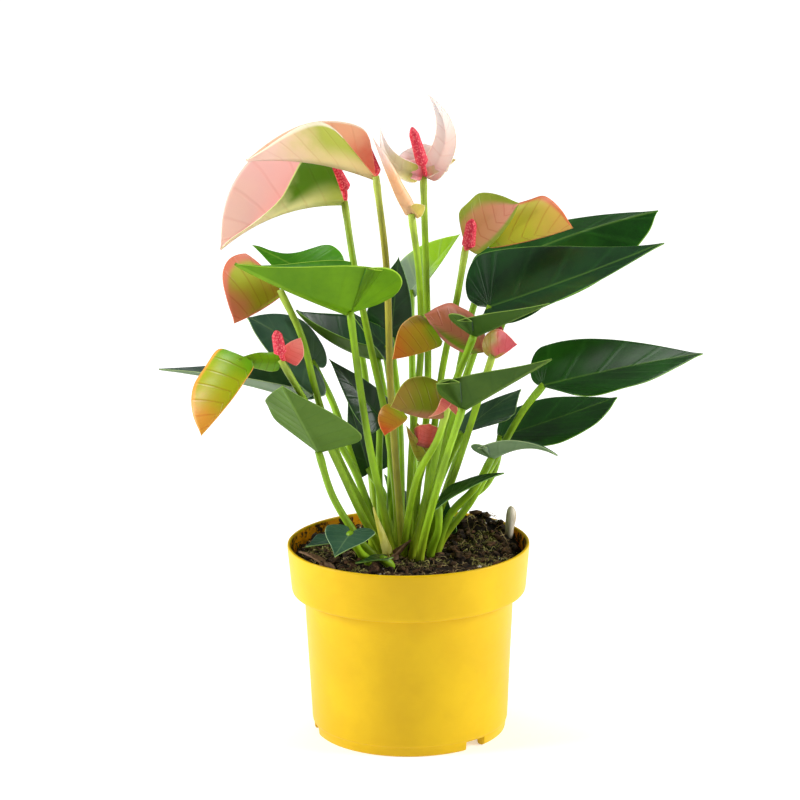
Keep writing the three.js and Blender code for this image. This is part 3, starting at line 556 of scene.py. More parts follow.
def stalk_skin(name, foot, middle, top):
    """A stalk's skin: its colour runs from foot to knee along the stalk, with fine lengthwise streaks."""
    material, tree, shader = new_material(name, 0.42, Specular_IOR_Level=0.25, Subsurface_Weight=0.06,
                                          Subsurface_Scale=0.002, Subsurface_Radius=(0.5, 1.0, 0.2))
    coords = object_place(tree)
    along, _ = map_axes(tree, "veins")
    streaks = node(tree, "Mapping", Vector=coords, Scale=(1400, 1400, 60))
    grain = node(tree, "TexNoise", Vector=streaks.outputs[0], Scale=1.0, Detail=4.0)
    blotch = node(tree, "TexNoise", Vector=coords, Scale=70.0, Detail=3.0)
    colour = blend(tree, between(tree, along, 0.02, 0.35), foot, middle)
    colour = blend(tree, between(tree, along, 0.82, 1.0), colour, top)
    shade = between(tree, blotch.outputs["Fac"], 0.3, 0.75)
    shade = blend(tree, shade, (0.75, 0.75, 0.75), (1.15, 1.15, 1.1))
    colour = blend(tree, 1.0, colour, shade, "MULTIPLY")
    streaked = blend(tree, grain.outputs["Fac"], (0.8, 0.8, 0.8), (1.15, 1.15, 1.15))
    colour = blend(tree, 0.7, colour, streaked, "MULTIPLY")
    paint(tree, shader, colour, grain.outputs["Fac"], 0.00012)
    return material


# The leaves: glossy, leathery and heart-shaped, dark green above and lighter below, with sunken side veins,
# a raised pale midrib under the blade and a fine pale margin. Each is a blade on its own stalk.
# Half outlines as (length, half width) from the tip to the joint, each in a slim and a full form
HEART_SLIM = [[1, 0], [0.92, 0.07], [0.78, 0.2], [0.6, 0.4], [0.42, 0.62], [0.24, 0.82], [0.06, 0.96],
              [-0.1, 0.97], [-0.22, 0.82], [-0.29, 0.56], [-0.27, 0.28], [-0.15, 0.09]]
HEART_FULL = [[1, 0], [0.95, 0.08], [0.85, 0.3], [0.68, 0.6], [0.49, 0.84], [0.28, 0.98], [0.08, 0.98],
              [-0.09, 0.86], [-0.19, 0.64], [-0.22, 0.38], [-0.18, 0.17], [-0.1, 0.05]]
PETAL_SLIM = [[1, 0], [0.93, 0.07], [0.8, 0.2], [0.64, 0.4], [0.46, 0.62], [0.29, 0.83], [0.14, 0.96],
              [0.04, 0.94], [0, 0.8]]
PETAL_FULL = [[1, 0], [0.95, 0.1], [0.84, 0.34], [0.68, 0.62], [0.49, 0.85], [0.3, 0.97], [0.13, 1],
              [0.03, 0.94], [0, 0.78]]
# The share of the outline, from the tip, whose side veins start on the midrib
HEART_MIDRIB = 0.5
PETAL_MIDRIB = 0.85
RIB_REACH = 0.9
RIB_DEPTH = 0.5
MARGIN_WAVES = 2.6
LEAVES = {
    "leaf_front_left": dict(
        stem=[[-8, -9], [-12.5, -12, 118], [-18.5, -18, 150], [-23, -26, 184], [-27, -30, 220.5]],
        tip=[-80.5, -56, 250], width=[64, 58], fold=[54, 64], curl=[0, -20], full=[0.1, 0], bow=-1,
        lobe=[1.25, 0.6], lift=28,
    ),
    "leaf_left_behind": dict(
        stem=[[-13, 4], [-25.5, 5, 131], [-38, 25, 164], [-47.5, 20, 185]],
        tip=[-79, 8, 211], width=[78, 46], roll=-28, fold=[8, 10], full=[2, 0.8], bow=2,
    ),
    "leaf_far_left": dict(
        stem=[[-17.5, -1], [-24.5, -3, 130], [-38.5, -3, 155.5], [-53, 0, 171]],
        tip=[-121.5, -14, 190], width=[40, 44], fold=[24, 32], lobe=[0.1, 0.5], bow=2,
    ),
    "leaf_left_low": dict(
        stem=[[-15.5, -16], [-23.5, -17, 102], [-37, -20, 126], [-43.5, -24, 149.5]],
        tip=[-60, -46, 188.5], width=[50, 36], fold=[10, 20], full=[0.2, 1.6], lobe=[-0.05, -1.3],
        up=[0.1, 0.6, 0.7],
    ),
    "leaf_right_back": dict(
        stem=[[8, 27], [21.5, 36, 151], [32, 30, 204], [39.5, 32, 228]],
        tip=[125.5, 20, 260.5], width=[44, 54], roll=14, fold=[10, -45], full=[0.6, 2],
        lobe=[0.3, 0.3], bow=3,
    ),
    "leaf_right_front": dict(
        stem=[[6.5, -3], [16, -6, 135.5], [27, -8, 176.5], [41, -8, 218]],
        tip=[124.5, -26, 252.5], width=[80, 38], roll=14, fold=[22, 0], curl=[0, -14],
        full=[0.1, 0.9], bow=-1, lobe=[0.45, 0.15],
    ),
    "leaf_right_folded": dict(
        stem=[[2, -11], [11, -13, 132], [19.5, -15, 169.5], [32, -47, 212]],
        tip=[67.5, -63, 231], width=[26, 30], fold=[0, 45], lobe=[0.9, 1.1], lift=50,
    ),
    "leaf_far_right": dict(
        stem=[[15.5, 5], [31, 6, 115], [42, 3, 135], [57.5, -4, 165], [67, -7, 178]],
        tip=[144.5, -20, 196.5], width=[62, 44], roll=16, fold=[14, 0], full=[0.5, 1.3], bow=1,
        lobe=[0.3, -0.9],
    ),
    "leaf_right_low": dict(
        stem=[[17, 19.5], [24, 21, 108], [39.5, 22, 120], [45, 22, 131], [47, 22, 145]],
        tip=[105.5, 14, 167], width=[46, 48], roll=14, fold=[8, 0], full=[1, 2], bow=1, sway=-3,
        lobe=[0.2, -1],
    ),
    "leaf_right_lowest": dict(
        stem=[[14.5, -2], [21.5, -2, 112], [33, -7, 126], [41.5, -13, 143]],
        tip=[73.5, -26, 147.5], width=[26, 26], fold=[12, 42], bow=4, nod=1, lift=20,
    ),
    "leaf_middle_folded": dict(
        stem=[[5.5, -17.5], [16, -32, 139], [26.5, -46, 176]],
        tip=[68.5, -64, 204.5], width=[28, 44], fold=[45, 52], lobe=[0.3, 0.85], lift=48,
    ),
    "leaf_middle_back": dict(
        stem=[[7, 19.5], [16.5, 18, 124], [27.5, 14, 149]],
        tip=[57, 8, 173], width=[22, 28], roll=20, fold=[12, -10], full=[0.5, 2], bow=1,
        lobe=[0.5, -2],
    ),
    "leaf_narrow": dict(
        stem=[[11, -10], [15, -13, 107], [15, -14, 121]],
        tip=[47.5, -19, 137], width=[18, 14], fold=[14, -10], full=[0.6, 0.6], lobe=[-0.2, 0.4], bow=2,
    ),
    "leaf_back_left": dict(
        stem=[[-13.5, 13], [-14.5, 17, 129], [-13.5, 16, 157]],
        tip=[-38.5, 10, 189], width=[22, 20], full=[0.5, 0.5], lobe=[0.3, 0.3], up=[0.4, -1, 0.3],
    ),
    "leaf_back_left_low": dict(
        stem=[[-9, 19], [-11.5, 29, 111], [-20, 30, 127]],
        tip=[-30, 27, 165], width=[18, 26], full=[0.5, 1.2], lobe=[0.3, 0.3], up=[0.1, -1, 0.3],
    ),
    "leaf_back_middle": dict(
        stem=[[-3.5, 21], [-4, 48, 149], [-8, 52, 190]],
        tip=[-3.5, 50, 233], width=[30, 20], fold=[5, 5], full=[0.8, 1], lobe=[0.6, 0.6],
        up=[0.1, -1, 0.3],
    ),
    "leaf_back_light": dict(
        stem=[[4, 27], [3, 57, 157], [2.5, 71, 211]],
        tip=[28, 62, 242.5], width=[30, 8], fold=[10, 0], full=[0.9, 0.6], lobe=[0.9, 0.2],
        up=[-0.2, -1, 0.6],
    ),
    "leaf_left_hidden": dict(
        stem=[[-9.5, 10.5], [-9, 29, 149], [-15, 30, 184.5]],
        tip=[-55, 23, 211.5], width=[22, 44], fold=[40, 45], full=[0.5, 1], lobe=[0.4, 0.3], bow=-4,
    ),
    "leaf_middle_hidden": dict(
        stem=[[-5.5, 14], [-6.5, 12, 157], [-10.5, 12, 194.5]],
        tip=[-28, 4, 214.5], width=[22, 22], roll=-40, fold=[5, 5], lobe=[0.6, 0.6],
    ),
    "leaf_back_top": dict(
        stem=[[-16, 26], [-19, 43, 125], [-22, 50, 175], [-29, 49, 202], [-46, 36, 226]],
        tip=[-77, 30, 243.5], width=[18, 38], fold=[0, 0], curl=[0, -30], full=[0.3, -1],
        lobe=[-0.5, 0.9], up=[0.2, -1, 0.3],
    ),
    "leaf_right_hidden": dict(
        stem=[[13.5, 27.5], [36, 27, 163.5], [49, 4, 213]],
        tip=[70, 0, 218.5], width=[12, 12], fold=[0, 0], full=[1, 1], up=[0, -1, 0.6],
    ),
    "leaf_soil_front": dict(
        stem=[[-20, -22], [-24, -27, 99.5], [-28.5, -33, 110.5]],
        tip=[-36, -47, 103], width=[28, 28], fold=[5, 5],
    ),
    "leaf_soil_left": dict(
        stem=[[-23, -8.5], [-29, -15, 100.5], [-38.5, -20, 104]],
        tip=[-50.5, -32, 104], width=[18, 18], fold=[5, 5],
    ),
    "leaf_soil_small": dict(
        stem=[[-9, -28], [-13, -31, 97]],
        tip=[-26, -39, 97.5], width=[12, 12], fold=[15, 10],
    ),
    "leaf_shoot_left": dict(
        stem=[[0, 34], [-1, 38, 101]],
        tip=[-12, 40, 121.5], width=[20, 20], roll=-40, fold=[5, 5], lobe=[0.6, 0.6],
    ),
    "leaf_shoot_middle": dict(
        stem=[[12.5, 35], [14, 38, 101]],
        tip=[14.5, 37, 117.5], width=[18, 18], roll=40, fold=[5, 5], lobe=[0.5, 0.5],
    ),
    "leaf_shoot_right": dict(
        stem=[[15.5, 14], [16, 15, 100]],
        tip=[19.5, 19, 117], width=[18, 18], roll=40, fold=[5, 5], lobe=[0.5, 0.5],
    ),
}


def half_outline(full, lobe, share):
    """One half's outline at the shares 0 (tip) to 1 (joint): the slim and the full outline blended, joined by
    an even Catmull-Rom curve, its lobe lengthened, or a petal's base slanted where lobe is negative."""
    slim, wide = (HEART_SLIM, HEART_FULL) if lobe > 0 else (PETAL_SLIM, PETAL_FULL)
    points = (1 - full) * np.array(slim) + full * np.array(wide)
    padded = np.concatenate([[2 * points[0] - points[1]], points, [2 * points[-1] - points[-2]]])
    place = np.clip(share, 0, 1) * (len(points) - 1)
    index = np.minimum(place.astype(int), len(points) - 2)
    t = (place - index)[:, None]
    a, b, c, d = (padded[index + k] for k in range(4))
    along, out = (b + 0.5 * t * (c - a + t * (2 * a - 5 * b + 4 * c - d + t * (3 * (b - c) + d - a)))).T
    if lobe > 0:
        return np.where(along < 0, along * lobe, along), out
    return along - 0.3 * lobe * (1 - along) * out, out


def unit(vectors):
    """Vectors brought to length 1."""
    return vectors / np.linalg.norm(vectors, axis=-1, keepdims=True)


def blade_grids(base, tip, width, up=(0, 0, 1), roll=0, bow=0, nod=0, sway=0, lift=0, fold=(10, 10),
                curl=(0, 0), full=(0, 0), lobe=(1, 1), thickness=0.8, rows=72, columns=14, veins=9,
                relief=0.2, wave=0.5, phase=0.0, slots=(0, 1)):
    """A leaf blade as four grids, the upper and lower face of each half. A point (s, v) is s lengths along
    the arched midrib and v half widths out along an arc that starts at the angle fold and turns by curl. Row
    lines run like the side veins from the midrib to the outline, and the faces are half the thickness off
    that sheet, less towards the margin, with valleys over the veins and a rib under the midrib."""
    joint = np.array(base, float)
    axis = np.array(tip, float) - joint
    length = np.linalg.norm(axis)
    axis /= length
    above = np.array(up, float)
    above = unit(above - axis * above.dot(axis))
    turn = math.radians(roll)
    above = above * math.cos(turn) + np.cross(axis, above) * math.sin(turn)
    beside = np.cross(above, axis)
    raised = math.radians(lift)

    def midrib(s):
        """The midrib's point at s lengths: the straight line plus an arch, a dip of the tip and a sway. The
        arch 4 s (1 - s) and the dip 27 / 4 s s (1 - s) are 1 at their highest."""
        ahead = np.maximum(s, 0)
        arch = np.where(s < 0, 0 if lift else 4 * s, 4 * s * (1 - s))
        up_by = bow * arch + nod * 27 / 4 * ahead ** 2 * (1 - ahead) \
            + np.where(s < 0, -s * math.sin(raised), 0) * length
        forward = length * np.where(s < 0, s * math.cos(raised), s)
        return joint + forward[..., None] * axis + up_by[..., None] * above \
            + (sway * arch)[..., None] * beside

    share = np.linspace(0, 1, rows + 1)
    ribbed = np.sin(np.linspace(0, np.pi / 2, columns + 1))
    grids = []
    for side, i in ((1, 0), (-1, 1)):
        along, out = half_outline(full[i], lobe[i], share)
        start = np.maximum(0, 1 - share / (HEART_MIDRIB if lobe[0] > 0 else PETAL_MIDRIB))
        s = start[:, None] + (along - start)[:, None] * ribbed
        v = out[:, None] * ribbed
        tangent = unit(midrib(s + 1e-3) - midrib(s - 1e-3))
        normal = unit(above - tangent * (tangent @ above)[..., None])
        outward = np.cross(normal, tangent) * side
        first, bend = math.radians(fold[i]), math.radians(curl[i]) or 1e-6
        angle = first + bend * v
        reach = width[i] / 2 / bend
        sheet = midrib(s) + outward * (reach * (np.sin(angle) - math.sin(first)))[..., None] \
            - normal * (reach * (np.cos(angle) - math.cos(first)))[..., None]
        face = normal * np.cos(angle)[..., None] - outward * np.sin(angle)[..., None]
        mean_fold = math.radians((abs(fold[0]) + abs(fold[1])) / 2)
        face[:, 0] = normal[:, 0] / max(math.cos(mean_fold), 0.4)
        inward = np.minimum((1 - ribbed)[None] / 0.05, (1 - share)[:, None] / 0.02)
        half = thickness / 2 * np.sqrt(np.clip(inward, 0, 1))
        valleys = 0.5 - 0.5 * np.cos(2 * np.pi * veins * share)[:, None]
        quilt = relief * valleys * np.sin(np.pi * ribbed) ** 0.7
        swing = np.sin(2 * np.pi * MARGIN_WAVES * share + phase + side)[:, None]
        ripple = wave * swing * v ** 3 * (1 - share[:, None] ** 6)
        narrow = np.exp(-(v * width[i] / 2 / RIB_REACH) ** 2) * (start > 0)[:, None]
        rib = RIB_DEPTH * narrow * np.sqrt(1 - np.clip(s, 0, 1))
        quilt = quilt * np.clip(half / thickness * 2, 0, 1)
        uvs = {"veins": np.stack(np.broadcast_arrays(share[:, None], ribbed[None]), -1),
               "place": np.stack([s, 0.5 + 0.5 * side * v], -1)}
        upper = sheet + face * (half + ripple + quilt - relief / 2)[..., None]
        lower = sheet + face * (-half - np.where(half > 0, rib, 0) + ripple + quilt - relief / 2)[..., None]
        grids.append((upper * MM, uvs, slots[0], side))
        grids.append((lower * MM, uvs, slots[1], -side))
    return grids


def vein_lines(tree, veins, breadth):
    """1 on the side veins and 0 between them, from the veins UV map, and the share outwards."""
    share, out = map_axes(tree, "veins")
    wobble = node(tree, "TexNoise", Vector=object_place(tree), Scale=90.0, Detail=1.0)
    count = maths(tree, "ADD", maths(tree, "MULTIPLY", share, veins),
                  maths(tree, "MULTIPLY", wobble.outputs["Fac"], 0.12))
    return between(tree, maths(tree, "PINGPONG", count, 0.5), breadth, 0.0), out


def leaf_skin(name, deep, fresh, vein, rib, roughness, gloss, tip=None):
    """A leaf's skin: two greens in soft patches, faint side veins with a fine net between them, a paler
    midrib and margin, and a slightly dimpled gloss. Towards the tip it can turn to a third green."""
    material, tree, shader = new_material(name, roughness, Specular_IOR_Level=gloss, Subsurface_Weight=0.04,
                                          Subsurface_Scale=0.002, Subsurface_Radius=(0.4, 1.0, 0.2))
    coords = object_place(tree)
    line, out = vein_lines(tree, 9, 0.12)
    patches = node(tree, "TexNoise", Vector=coords, Scale=45.0, Detail=5.0, Roughness=0.6)
    net = node(tree, "TexVoronoi", Vector=coords, Scale=520.0, feature="DISTANCE_TO_EDGE")
    forward, beside = map_axes(tree, "place")
    colour = blend(tree, between(tree, patches.outputs["Fac"], 0.3, 0.72), rgb(*deep), rgb(*fresh))
    if tip:
        colour = blend(tree, between(tree, forward, 0.2, 0.55), colour, rgb(*tip))
    netted = maths(tree, "MULTIPLY", between(tree, net.outputs["Distance"], 0.08, 0.0), 0.12)
    colour = blend(tree, netted, colour, rgb(*vein))
    colour = blend(tree, maths(tree, "MULTIPLY", line, 0.25), colour, rgb(*vein))
    aside = maths(tree, "ABSOLUTE", maths(tree, "SUBTRACT", beside, 0.5))
    midrib = maths(tree, "MULTIPLY", between(tree, aside, 0.018, 0.006), 0.28)
    colour = blend(tree, midrib, colour, rgb(*rib))
    colour = blend(tree, between(tree, out, 0.975, 0.99), colour, rgb(*rib))
    height = maths(tree, "ADD", maths(tree, "MULTIPLY", line, -0.5), patches.outputs["Fac"])
    paint(tree, shader, colour, height, 0.00014)
    return material


leaf_stalk = stalk_skin("leaf_stalk", rgb(152, 172, 40), rgb(136, 176, 34), rgb(122, 162, 30))
# Two greens, the veins, the midrib, the roughness and the gloss, then the tip's green where it is another
LEAF_SKINS = {
    "top_dark": ((14, 46, 20), (24, 66, 24), (44, 92, 40), (104, 150, 60), 0.3, 0.5),
    "top_green": ((20, 62, 10), (32, 86, 18), (52, 108, 34), (120, 164, 60), 0.34, 0.4),
    "top_young": ((52, 112, 6), (74, 138, 16), (96, 156, 40), (150, 190, 70), 0.42, 0.25),
    "top_bluish": ((36, 70, 52), (60, 92, 70), (80, 112, 84), (140, 168, 110), 0.36, 0.5),
    # The two greyish light greens of this skin are a painted sheen, the gloss of a dark leaf put in its
    # colour; the tip's green is the leaf's own
    "top_light": ((112, 134, 110), (128, 148, 122), (150, 172, 110), (190, 212, 130), 0.5, 0.2,
                  (146, 194, 28)),
    "under": ((78, 108, 34), (92, 124, 48), (70, 100, 36), (134, 168, 80), 0.55, 0.2),
    "under_olive": ((52, 82, 18), (66, 94, 26), (50, 78, 20), (126, 154, 64), 0.55, 0.2),
    "under_young": ((84, 128, 4), (104, 150, 10), (84, 130, 8), (160, 200, 60), 0.55, 0.2),
    "under_grey": ((88, 114, 76), (108, 132, 94), (88, 114, 76), (168, 188, 136), 0.5, 0.25),
}
leaf_skins = {key: leaf_skin("leaf_" + key, *look) for key, look in LEAF_SKINS.items()}
# Upper and under side of the leaves that aren't top_dark and under
LEAF_LOOKS = {
    ("top_young", "under_young"): ("leaf_front_left",),
    ("top_young", "under"): ("leaf_back_top",),
    # leaf_back_light's upper side carries the painted sheen
    ("top_light", "under_grey"): ("leaf_back_light",),
    ("top_green", "under"): ("leaf_far_right", "leaf_right_back", "leaf_right_low"),
    ("top_dark", "under_olive"): ("leaf_right_folded", "leaf_middle_folded"),
    ("top_bluish", "under_grey"): ("leaf_right_lowest", "leaf_far_left"),
    ("top_bluish", "under"): ("leaf_left_behind", "leaf_middle_back", "leaf_soil_front", "leaf_soil_left"),
}
leaf_sides = {name: sides for sides, names in LEAF_LOOKS.items() for name in names}


for number, (name, shape) in enumerate(LEAVES.items()):
    shape = dict(shape)
    stem = shape.pop("stem")
    sides = leaf_sides.get(name, ("top_dark", "under"))
    grids = blade_grids(base=stem[-1], phase=1.7 * number, relief=0.12, **shape)
    grids.append(stalk_grid(stem, slot=2))
    skins = [*(leaf_skins[side] for side in sides), leaf_stalk]
    finish_piece(solid_from_grids(name + "_blade", grids, skins), name)


# The blooms: a waxy spathe, pink inside and greening with age, folded or cupped round a knobbly spadix, on
# a stalk longer and lighter than a leaf's. A spathe of several folds is several sheets joined at their feet.
# PETAL is what each sheet has unless its entry says otherwise.
PETAL = dict(fold=[0, 0], full=[1, 1], lobe=[-0.2, -0.2], up=[0, -1, 0.2])
BLOOMS = {
    "bloom_left_low": dict(
        slot="pink_spathe",
        stem=[[-5.5, 1.5], [-6, 3, 118], [-11.5, 0, 166], [-16.5, -1, 191], [-25.5, 6, 237]],
        petals=[
            dict(base=[-30, 17, 266.5], tip=[-91.5, 7, 245.5], width=[70, 72], up=[0, 0, 1],
                 fold=[38, 66], curl=[45, 0], full=[-1.2, 1.1], lobe=[-0.5, -0.2], bow=6.5),
        ],
        spadix=dict(base=[-29, 16.5, 272.5], tip=[-36, 15, 287.5], radius=3),
    ),
    "bloom_left_top": dict(
        slot="pink_spathe",
        stem=[[-3, -4], [-8, -4, 174], [-9.5, -8, 239]],
        petals=[
            dict(base=[-14, -13, 283.5], tip=[-77.5, 2, 290.5], width=[49, 44], up=[0, 0, 1],
                 fold=[50, 66], curl=[28, 0], full=[0.5, 1], lobe=[-1.2, -0.6], bow=4),
        ],
        spadix=dict(base=[-14, -8, 283.5], tip=[-20.5, 0, 300], radius=3.2),
    ),
    "bloom_top_narrow": dict(
        slot="pink_spathe",
        stem=[[0, 6], [2.5, 2, 149], [7, -1, 194.5], [6.5, -10, 234]],
        petals=[
            dict(base=[3, -16, 265.5], tip=[-15.5, -20, 304.5], width=[6, 9], up=[0.2, -1, 0.1],
                 curl=[-40, -60], full=[0.6, 0.6], lobe=[-0.1, -0.1]),
            dict(base=[4, -16, 266], tip=[9.5, -18, 270.5], width=[8, 6], fold=[10, 10], full=[1.5, 1.5],
                 lobe=[-0.1, -0.1]),
        ],
    ),
    "bloom_top_open": dict(
        slot="pale_spathe",
        stem=[[1, 13], [8.5, 12, 146.5], [10.5, 8, 178.5]],
        petals=[
            dict(base=[9, 2, 281.5], tip=[11.5, 4, 321.5], width=[12, 14], up=[-0.3, -1, 0.3],
                 fold=[20, 10], sway=-10),
            dict(base=[7, 1, 283], tip=[-11.5, -3, 307], width=[12, 10], up=[0.3, -1, 0.6],
                 fold=[20, 20], full=[0.8, 0.8], sway=7),
            dict(base=[9.5, 4, 282], tip=[9.5, 8, 297], width=[25, 25], fold=[10, 10], curl=[20, 20],
                 full=[2, 2]),
            dict(base=[8.5, 0, 282], tip=[-4, -3, 285.5], width=[6, 14], up=[0, -1, 0.6], fold=[10, 10],
                 full=[1.5, 1.5]),
            dict(base=[10, 0, 282.5], tip=[25, 0, 290], width=[14, 4], up=[0, -1, 0.6], fold=[10, 10],
                 full=[1.5, 1.5]),
        ],
        spadix=dict(base=[9, -7, 288], tip=[3.5, -13, 308], radius=2.9),
    ),
    "bloom_right": dict(
        slot="green_spathe",
        stem=[[7, 10], [17, 10, 178.5], [25, -3, 221.5]],
        petals=[
            dict(base=[29.5, 2, 246], tip=[56, 2, 268], width=[36, 14], fold=[10, 0], curl=[-60, -30],
                 full=[1.7, 1.2], lobe=[-0.8, -0.2]),
            dict(base=[39, 5, 247.5], tip=[82, -2, 256], width=[38, 6], curl=[-50, 0], full=[2.2, 1],
                 lobe=[-1.1, -0.2]),
        ],
        spadix=dict(base=[30.5, -5, 247], tip=[32.5, -7, 262], radius=3.2),
    ),
    "bloom_far_left": dict(
        slot="coral_spathe",
        stem=[[-12.5, -4.5], [-35, -15, 147], [-44, -22.5, 178], [-51, -25, 208.5]],
        petals=[
            dict(base=[-61, -20, 229.5], tip=[-83, -34, 216.5], width=[5, 58], curl=[0, -40],
                 full=[1, 1.3], lobe=[-0.2, 0.2]),
        ],
    ),
    "bloom_left_drooping": dict(
        slot="green_spathe",
        stem=[[-12.5, -9.5], [-23.5, -15, 116], [-40.5, -24, 157.5]],
        petals=[
            dict(base=[-60.5, -34, 198], tip=[-82, -36, 199.5], width=[11, 9], up=[0, -1, 0.3],
                 curl=[-40, -40]),
            dict(base=[-74.5, -37, 199], tip=[-99, -50, 165], width=[6, 47], up=[-0.2, -0.9, 0.3],
                 curl=[0, -50], full=[1, 1.5]),
            dict(base=[-59.5, -34, 198.5], tip=[-51, -32, 209], width=[8, 14], fold=[10, 10],
                 curl=[-30, -30], full=[1, 1.4], lobe=[-0.3, -0.3]),
        ],
        spadix=dict(base=[-60.5, -39, 202], tip=[-62.5, -41, 214.5], radius=3),
    ),
    "bloom_middle": dict(
        slot="rose_spathe",
        stem=[[8.5, 3], [21.5, -4, 128], [35, -14, 172.5]],
        petals=[
            dict(base=[41.5, -28, 198], tip=[53.5, -34, 205], width=[24, 4], curl=[-40, 0],
                 full=[1.5, 0.5], lobe=[1.2, -0.2]),
            dict(base=[40, -20, 198.5], tip=[8.5, -26, 218.5], width=[14, 26], up=[-0.2, -1, 0.3],
                 curl=[-20, -50], full=[1.2, 2], lobe=[-0.8, -1]),
            dict(base=[17.5, -28, 205.5], tip=[-7, -36, 198.5], width=[4, 35], curl=[0, -40],
                 full=[1, 1.2], lobe=[-0.2, -0.5]),
        ],
        spadix=dict(base=[44, -17, 201], tip=[45.5, -17, 211], radius=2.6),
    ),
    "bloom_low": dict(
        slot="rose_spathe",
        stem=[[-2.5, -9], [4.5, -21, 135.5], [14.5, -32, 157.5]],
        petals=[
            dict(base=[19.5, -36, 174], tip=[-8, -42, 176.5], width=[11, 30], curl=[-20, -40],
                 full=[1, 2], lobe=[-0.2, -0.5]),
            dict(base=[-2, -41, 174], tip=[-11, -45, 163], width=[8, 18], up=[0, -1, 0.3], curl=[0, -30],
                 full=[0.3, 1.8]),
            dict(base=[19.5, -40, 179.5], tip=[10, -43, 171.5], width=[5, 6], up=[0, -1, 0.3],
                 full=[0, 0], lobe=[-0.1, -0.1], sway=1.5),
            dict(base=[20.5, -40, 179.5], tip=[27, -40, 169.5], width=[6, 4], up=[0, -1, 0.3],
                 full=[0, 0], lobe=[-0.1, -0.1], sway=-1),
        ],
    ),
    "bloom_bud": dict(
        slot="bud",
        stem=[[4, 1.5], [5, -1, 125]],
        petals=[
            dict(base=[8, -3, 139.5], tip=[-0.5, -5, 158], width=[6, 6], up=[0, -1, 0], fold=[20, 20]),
            dict(base=[8.5, -3, 140.5], tip=[5, -3, 159], width=[10, 12], up=[0, -1, 0], curl=[-60, -60]),
            dict(base=[9, -6, 147], tip=[11, -7, 159.5], width=[18, 18], up=[0, -1, 0], curl=[-80, -80],
                 full=[2, 2], lobe=[-0.1, -0.1]),
        ],
    ),
}
# Colours at the foot, middle, tip and edge: of each petal's inside, then of the spathe's outside
SPATHES = {
    "bloom_left_low": [
        ((238, 178, 168), (242, 188, 180), (248, 198, 178), (250, 214, 198)),
        ((190, 198, 84), (238, 230, 156), (246, 208, 182), (206, 216, 120),
         dict(edge_from=0.96, shoulder=(88, 130, 14))),
    ],
    "bloom_left_top": [
        ((232, 104, 80), (236, 176, 136), (240, 188, 158), (240, 214, 186)),
        ((206, 170, 112), (220, 196, 134), (240, 198, 180), (240, 228, 196),
         dict(edge_from=0.9, shoulder=(170, 176, 66))),
    ],
    "bloom_top_narrow": [
        ((226, 178, 130), (236, 176, 126), (240, 206, 194), (226, 204, 150)),
        ((226, 180, 120), (220, 196, 96), (214, 200, 90), (236, 224, 150)),
        ((214, 190, 100), (236, 190, 150), (240, 206, 194), (236, 214, 160)),
    ],
    "bloom_top_open": [
        ((246, 184, 174), (250, 222, 208), (254, 240, 234), (250, 232, 208)),
        ((176, 170, 70), (226, 216, 166), (252, 236, 226), (246, 230, 216)),
        ((250, 190, 184), (252, 218, 212), (254, 234, 228), (254, 238, 232)),
        ((242, 110, 114), (250, 172, 170), (252, 210, 204), (254, 226, 220)),
        ((248, 160, 156), (240, 208, 160), (222, 214, 146), (250, 222, 204)),
        ((200, 196, 110), (248, 212, 184), (252, 236, 226), (250, 232, 206)),
    ],
    "bloom_right": [
        ((150, 158, 44), (212, 154, 104), (232, 156, 126), (150, 166, 56), dict(edge_from=0.5)),
        ((150, 182, 24), (206, 202, 60), (232, 180, 90), (230, 128, 80), dict(edge_from=0.8)),
        ((150, 160, 50), (190, 180, 70), (222, 160, 96), (196, 190, 90)),
    ],
    "bloom_far_left": [
        ((164, 130, 44), (150, 142, 30), (196, 112, 76), (208, 118, 88),
         dict(edge_from=0.72, low=(176, 88, 66), shoulder=(164, 172, 54))),
        ((150, 140, 40), (190, 120, 70), (226, 140, 110), (226, 190, 110)),
    ],
    "bloom_left_drooping": [
        ((96, 150, 14), (104, 152, 16), (120, 160, 24), (176, 200, 80)),
        ((100, 152, 8), (150, 160, 16), (204, 140, 48), (216, 152, 62), dict(edge_from=0.8)),
        ((214, 84, 78), (222, 100, 90), (232, 130, 116), (238, 170, 150)),
        ((96, 150, 14), (130, 156, 24), (190, 150, 50), (190, 200, 90)),
    ],
    "bloom_middle": [
        ((190, 150, 80), (230, 102, 106), (234, 98, 108), (244, 160, 146), dict(shoulder=(180, 156, 64))),
        ((136, 80, 52), (146, 90, 56), (170, 100, 70), (190, 116, 92),
         dict(edge_from=0.7, low=(104, 132, 10))),
        ((106, 134, 8), (158, 130, 28), (186, 106, 36), (226, 178, 96)),
        ((120, 140, 20), (160, 120, 50), (190, 110, 70), (214, 170, 100)),
    ],
    "bloom_low": [
        ((122, 106, 28), (112, 122, 18), (150, 122, 52), (166, 176, 62), dict(low=(150, 100, 60))),
        ((140, 152, 30), (170, 120, 34), (192, 84, 36), (210, 150, 70)),
        ((200, 92, 84), (222, 120, 100), (232, 150, 120), (246, 190, 160)),
        ((200, 92, 84), (196, 104, 84), (226, 140, 110), (246, 190, 160)),
        ((130, 130, 20), (150, 120, 40), (180, 100, 50), (190, 180, 90)),
    ],
    "bloom_bud": [
        ((150, 168, 56), (156, 150, 34), (160, 120, 40), (188, 206, 110)),
        ((172, 186, 70), (150, 146, 30), (140, 90, 30), (190, 206, 110)),
        ((120, 60, 36), (200, 80, 70), (214, 92, 76), (196, 180, 90), dict(edge_from=0.86)),
        ((160, 160, 40), (190, 100, 60), (200, 80, 70), (180, 180, 90)),
    ],
}


